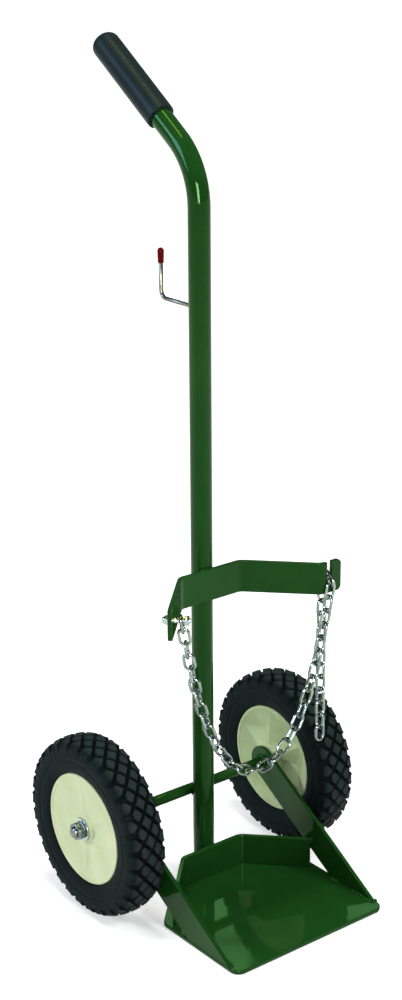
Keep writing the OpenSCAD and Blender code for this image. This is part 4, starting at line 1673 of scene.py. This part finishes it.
@dataclass
class Welds:
    """Weld beads of the frame, as rippled seams along short paths."""

    palette: Palette
    pitch: float = 1.7 * MM
    bead: float = 2.4 * MM
    bead_flat: float = 0.62
    bead_least: float = 0.86
    bead_most: float = 1.1
    tack: float = 7.0 * MM
    bar_x: float = 5.2 * MM
    bar_y: float = 0.9 * MM
    bar_end: float = 1.5 * MM
    brace_x: float = 0.6 * MM
    brace_from: float = 3.0 * MM
    brace_to: float = 34.0 * MM
    brace_ring_x: float = 0.5 * MM
    brace_ring_r: float = 7.2 * MM
    brace_foot: float = 0.4 * MM
    stop_y: float = 2.5 * MM
    stop_end: float = 1.0 * MM
    corner_y: float = -4.0 * MM
    axle_half: float = 5.5 * MM
    axle_z: float = 4.6 * MM
    axle_y: float = 0.6 * MM
    hook_y: float = 0.4 * MM
    hook_r: float = 2.9 * MM
    ring_steps: int = 28
    seed: int = 7

    def paths(self) -> list[list[Vector]]:
        """Paths of all the seams."""
        seams = self.bar_seams()
        for side in Side:
            seams.extend(self.brace_seams(side))
        return seams + self.rod_seams()

    def bar_seams(self) -> list[list[Vector]]:
        """Upright seams that hold the bracket and the backstop to the post."""
        seams: list[list[Vector]] = []
        for node in ("cylinder_bracket", "backstop"):
            low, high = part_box(node)
            for x in (-self.bar_x, self.bar_x):
                ends = (low.z + self.bar_end, high.z - self.bar_end)
                seams.append([Vector((x, high.y + self.bar_y, z)) for z in ends])
        return seams

    def brace_seams(self, side: Side) -> list[list[Vector]]:
        """Seams of one brace on the plate, the axle and the backstop.

        Args:
            side: Side of the brace.

        Returns:
            The paths of the seams.
        """
        low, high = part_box("brace_" + side.value)
        stop_low, stop_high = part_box("backstop")
        plate_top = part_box("base_plate")[1].z
        inner = low.x if side is Side.RIGHT else high.x
        x = inner - side.sign * self.brace_x
        axle = joint_place(f"wheel_{side.value}_spin")
        ring = Vector((inner - side.sign * self.brace_ring_x, axle.y, axle.z))
        stop = Vector((x, stop_low.y + self.stop_y, stop_high.z - self.tack))
        corner = Vector((x, self.corner_y, plate_top))
        foot = Vector((inner, low.y - self.brace_foot, plate_top))
        return [
            [Vector((x, low.y + y, plate_top)) for y in (self.brace_from, self.brace_to)],
            self.ring(ring, Vector((1, 0, 0)), self.brace_ring_r),
            [stop, stop + Vector((0, 0, self.tack - self.stop_end))],
            [corner, corner + Vector((0, self.tack, 0))],
            [foot, foot + Vector((side.sign * (high.x - low.x), 0, 0))],
        ]

    def rod_seams(self) -> list[list[Vector]]:
        """Seams that hold the axle and the hook to the post."""
        post = Post(self.palette)
        y = post.axis_y + post.radius + self.axle_y
        axle = joint_place("wheel_left_spin")
        seams = [
            [Vector((x, y, axle.z + z)) for x in (-self.axle_half, self.axle_half)]
            for z in (-self.axle_z, self.axle_z)
        ]
        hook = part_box("hook_rod")[0]
        centre = Vector((0, hook.y + self.hook_y, hook.z + HoseHook(self.palette).wire_r))
        seams.append(self.ring(centre, Vector((0, 1, 0)), self.hook_r))
        return seams

    def ring(self, centre: Vector, axis: Vector, radius: float) -> list[Vector]:
        """Points of a seam round a rod.

        Args:
            centre: Middle of the ring.
            axis: Axis of the rod.
            radius: Radius of the seam.

        Returns:
            Points round the ring.
        """
        spoke = axis.orthogonal().normalized() * radius
        return arc_points(centre, centre + spoke, axis, 2 * math.pi, self.ring_steps)

    def bead_tree(self) -> bpy.types.NodeTree:
        """Geometry nodes that lay overlapping ripples along the paths."""
        desk, given = new_tree("weld_ripples", {"Pitch": "Float", "Bead": "Float", "Seed": "Int"})
        curve = desk.add("GeometryNodeMeshToCurve", {0: given["Geometry"]})
        points = desk.add(
            "GeometryNodeCurveToPoints",
            {"Curve": curve.outputs[0], "Length": given["Pitch"]},
            mode="LENGTH",
        )
        ripple = desk.add("GeometryNodeMeshIcoSphere", {"Radius": given["Bead"], "Subdivisions": 2})
        size = desk.add(
            "FunctionNodeRandomValue",
            {2: self.bead_least, 3: self.bead_most, "Seed": given["Seed"]},
            data_type="FLOAT",
        )
        flat = desk.add(
            "ShaderNodeCombineXYZ", {0: size.outputs[1], 1: size.outputs[1], 2: self.bead_flat}
        )
        copies = desk.add(
            "GeometryNodeInstanceOnPoints",
            {
                "Points": points.outputs[0],
                "Instance": ripple.outputs[0],
                "Rotation": points.outputs["Rotation"],
                "Scale": flat.outputs[0],
            },
        )
        return end_tree(desk, copies, given["Finish"])

    def build(self) -> None:
        """Makes all the seams as one piece."""
        verts: list[Vector] = []
        edges: list[tuple[int, int]] = []
        for path in self.paths():
            base = len(verts)
            verts.extend(path)
            edges.extend((base + i, base + i + 1) for i in range(len(path) - 1))
        mesh = bpy.data.meshes.new("weld_beads")
        mesh.from_pydata([tuple(v) for v in verts], edges, [])
        finish = self.palette.enamel
        sizes = {"Pitch": self.pitch, "Bead": self.bead, "Seed": self.seed, "Finish": finish}
        dress(grown(mesh, self.bead_tree(), sizes), finish, "frame", "green_paint")


PANE_GREEN = (0.42, 1.0, 0.42)


class Role(Enum):
    """What a lamp does: it lights the pieces, or it is only seen mirrored in their gloss."""

    LIGHT = "light"
    MIRROR = "mirror"


@dataclass(frozen=True)
class Lamp:
    """One soft box or window pane: where it stands, how wide and high it is and how bright."""

    name: str
    place: Place
    width: float
    height: float
    power: float
    role: Role = Role.LIGHT
    colour: Colour = (1.0, 1.0, 1.0)


@dataclass
class Studio:
    """Floor, light and camera."""

    eye: Place = (-1.2352, -1.4539, 1.1759)
    heading: float = math.radians(38.16)
    dip: float = math.radians(19.32)
    roll: float = math.radians(-0.43)
    frame_height_px: float = 1000.0
    focal_px: float = 1888.7
    aim: Place = (0.0, 0.05, 0.45)
    sensor: float = 36.0
    clip: tuple[float, float] = (0.05, 200.0)
    floor_size: float = 60.0
    floor_drop: float = 0.4 * MM
    floor_colour: Colour = (0.86, 0.86, 0.86)
    near_glow: float = 0.50
    far_glow: float = 0.96
    glow_from: float = 0.5
    glow_to: float = 2.8
    world_level: float = 0.14
    world_seen: float = 1.0
    lamps: tuple[Lamp, ...] = (
        Lamp("key", (1.2, -2.5, 2.6), 1.1, 1.1, 72.0),
        Lamp("fill", (-2.12, -2.01, 1.23), 0.8, 1.2, 10.0, colour=(0.92, 0.97, 1.0)),
        Lamp("edge", (-2.6, 1.6, 1.45), 0.5, 0.5, 42.0, colour=(0.92, 0.98, 1.0)),
        Lamp("top", (-0.35, 0.15, 3.0), 0.9, 0.9, 34.0),
        Lamp("strip", (2.2, 1.2, 1.9), 1.0, 1.0, 14.0),
        Lamp("window", (-1.83, -2.38, 1.23), 1.0, 1.2, 195.0, Role.MIRROR, (1.0, 0.9, 1.0)),
        Lamp("sky", (-2.8, 1.0, 2.0), 1.3, 1.5, 135.0, Role.MIRROR, (0.40, 0.55, 1.0)),
        Lamp("glint", (0.04, 0.15, 2.9), 0.3, 0.8, 14.0, Role.MIRROR, (0.9, 0.95, 0.15)),
        Lamp("pane_low", (2.18, 3.0, 2.285), 0.36, 0.17, 0.48, Role.MIRROR, PANE_GREEN),
        Lamp("pane_high", (2.20, 3.0, 2.54), 0.42, 0.19, 0.60, Role.MIRROR, PANE_GREEN),
        Lamp("pane_right", (3.04, 3.0, 2.62), 0.22, 0.10, 0.16, Role.MIRROR, PANE_GREEN),
    )

    def build(self) -> None:
        """Makes the floor, the lamps, the world and the camera."""
        self.build_floor()
        self.build_light()
        self.build_camera()
        bpy.context.scene.view_settings.view_transform = "Standard"

    def build_floor(self) -> None:
        """Makes the pale floor, which glows only to the camera and in what mirrors it."""
        half, z = self.floor_size / 2, -self.floor_drop
        corners = [(-half, -half, z), (half, -half, z), (half, half, z), (-half, half, z)]
        floor = mesh_object("floor", corners, [(0, 1, 2, 3)])
        material = bpy.data.materials.new("floor_white")
        material.use_nodes = True
        desk = NodeDesk(material.node_tree)
        for node in list(material.node_tree.nodes):
            material.node_tree.nodes.remove(node)
        rays = desk.add("ShaderNodeLightPath").outputs
        matt = desk.add("ShaderNodeBsdfDiffuse", {"Color": (*self.floor_colour, 1.0)})
        place = desk.add("ShaderNodeTexCoord").outputs["Object"]
        away = desk.add("ShaderNodeVectorMath", {0: place}, operation="LENGTH").outputs["Value"]
        fade = desk.spread(away, self.near_glow, self.far_glow, self.glow_from, self.glow_to)
        mirrored = desk.sums(rays["Is Glossy Ray"], rays["Is Transmission Ray"], "MAXIMUM")
        seen = desk.sums(rays["Is Camera Ray"], mirrored, "MAXIMUM")
        glow = desk.add("ShaderNodeEmission", {"Strength": desk.sums(seen, fade, "MULTIPLY")})
        both = desk.add("ShaderNodeAddShader", {0: matt.outputs[0], 1: glow.outputs[0]})
        desk.add("ShaderNodeOutputMaterial", {"Surface": both.outputs[0]})
        floor.data.materials.append(material)

    def build_light(self) -> None:
        """Makes the lamps and an even world, which is white to the camera alone."""
        for lamp in self.lamps:
            data = bpy.data.lights.new(lamp.name, "AREA")
            data.energy = lamp.power
            data.shape = "RECTANGLE"
            data.size, data.size_y = lamp.width, lamp.height
            data.color = lamp.colour
            box = bpy.data.objects.new(lamp.name, data)
            box.location = lamp.place
            box.visible_glossy = lamp.role is Role.MIRROR
            box.visible_diffuse = lamp.role is Role.LIGHT
            ahead = Vector(self.aim) - Vector(lamp.place)
            box.rotation_euler = ahead.to_track_quat("-Z", "Y").to_euler()
            bpy.context.scene.collection.objects.link(box)
        world = bpy.data.worlds.new("studio")
        world.use_nodes = True
        back = next(n for n in world.node_tree.nodes if n.type == "BACKGROUND")
        desk = NodeDesk(world.node_tree)
        seen = desk.add("ShaderNodeLightPath").outputs["Is Camera Ray"]
        level = desk.spread(seen, self.world_level, self.world_seen)
        desk.feed(back, {"Color": (1.0, 1.0, 1.0, 1.0), "Strength": level})
        bpy.context.scene.world = world

    def build_camera(self) -> None:
        """Puts the camera at the place from which the photograph was taken."""
        data = bpy.data.cameras.new("camera")
        data.sensor_fit = "AUTO"
        data.sensor_width = self.sensor
        data.lens = self.focal_px / self.frame_height_px * data.sensor_width
        data.clip_start, data.clip_end = self.clip
        a, e = self.heading, self.dip
        back = Vector((-math.sin(a) * math.cos(e), -math.cos(a) * math.cos(e), math.sin(e)))
        right = Vector((math.cos(a), -math.sin(a), 0.0))
        up = back.cross(right)
        c, s = math.cos(self.roll), math.sin(self.roll)
        right, up = c * right + s * up, -s * right + c * up
        turn = Matrix((right, up, back)).transposed().to_4x4()
        camera = bpy.data.objects.new("camera", data)
        camera.matrix_world = Matrix.Translation(self.eye) @ turn
        bpy.context.scene.collection.objects.link(camera)
        bpy.context.scene.camera = camera


def main() -> None:
    """Builds the sub-assemblies in order."""
    logging.basicConfig(level=logging.INFO, format="%(name)s: %(message)s")
    palette = Palette()
    Studio().build()
    Post(palette).build()
    HoseHook(palette).build()
    FlatWork(palette).build()
    Chain(palette).build()
    for side in Side:
        Wheel(palette, side).build()
    Welds(palette).build()


if __name__ == "__main__":
    main()
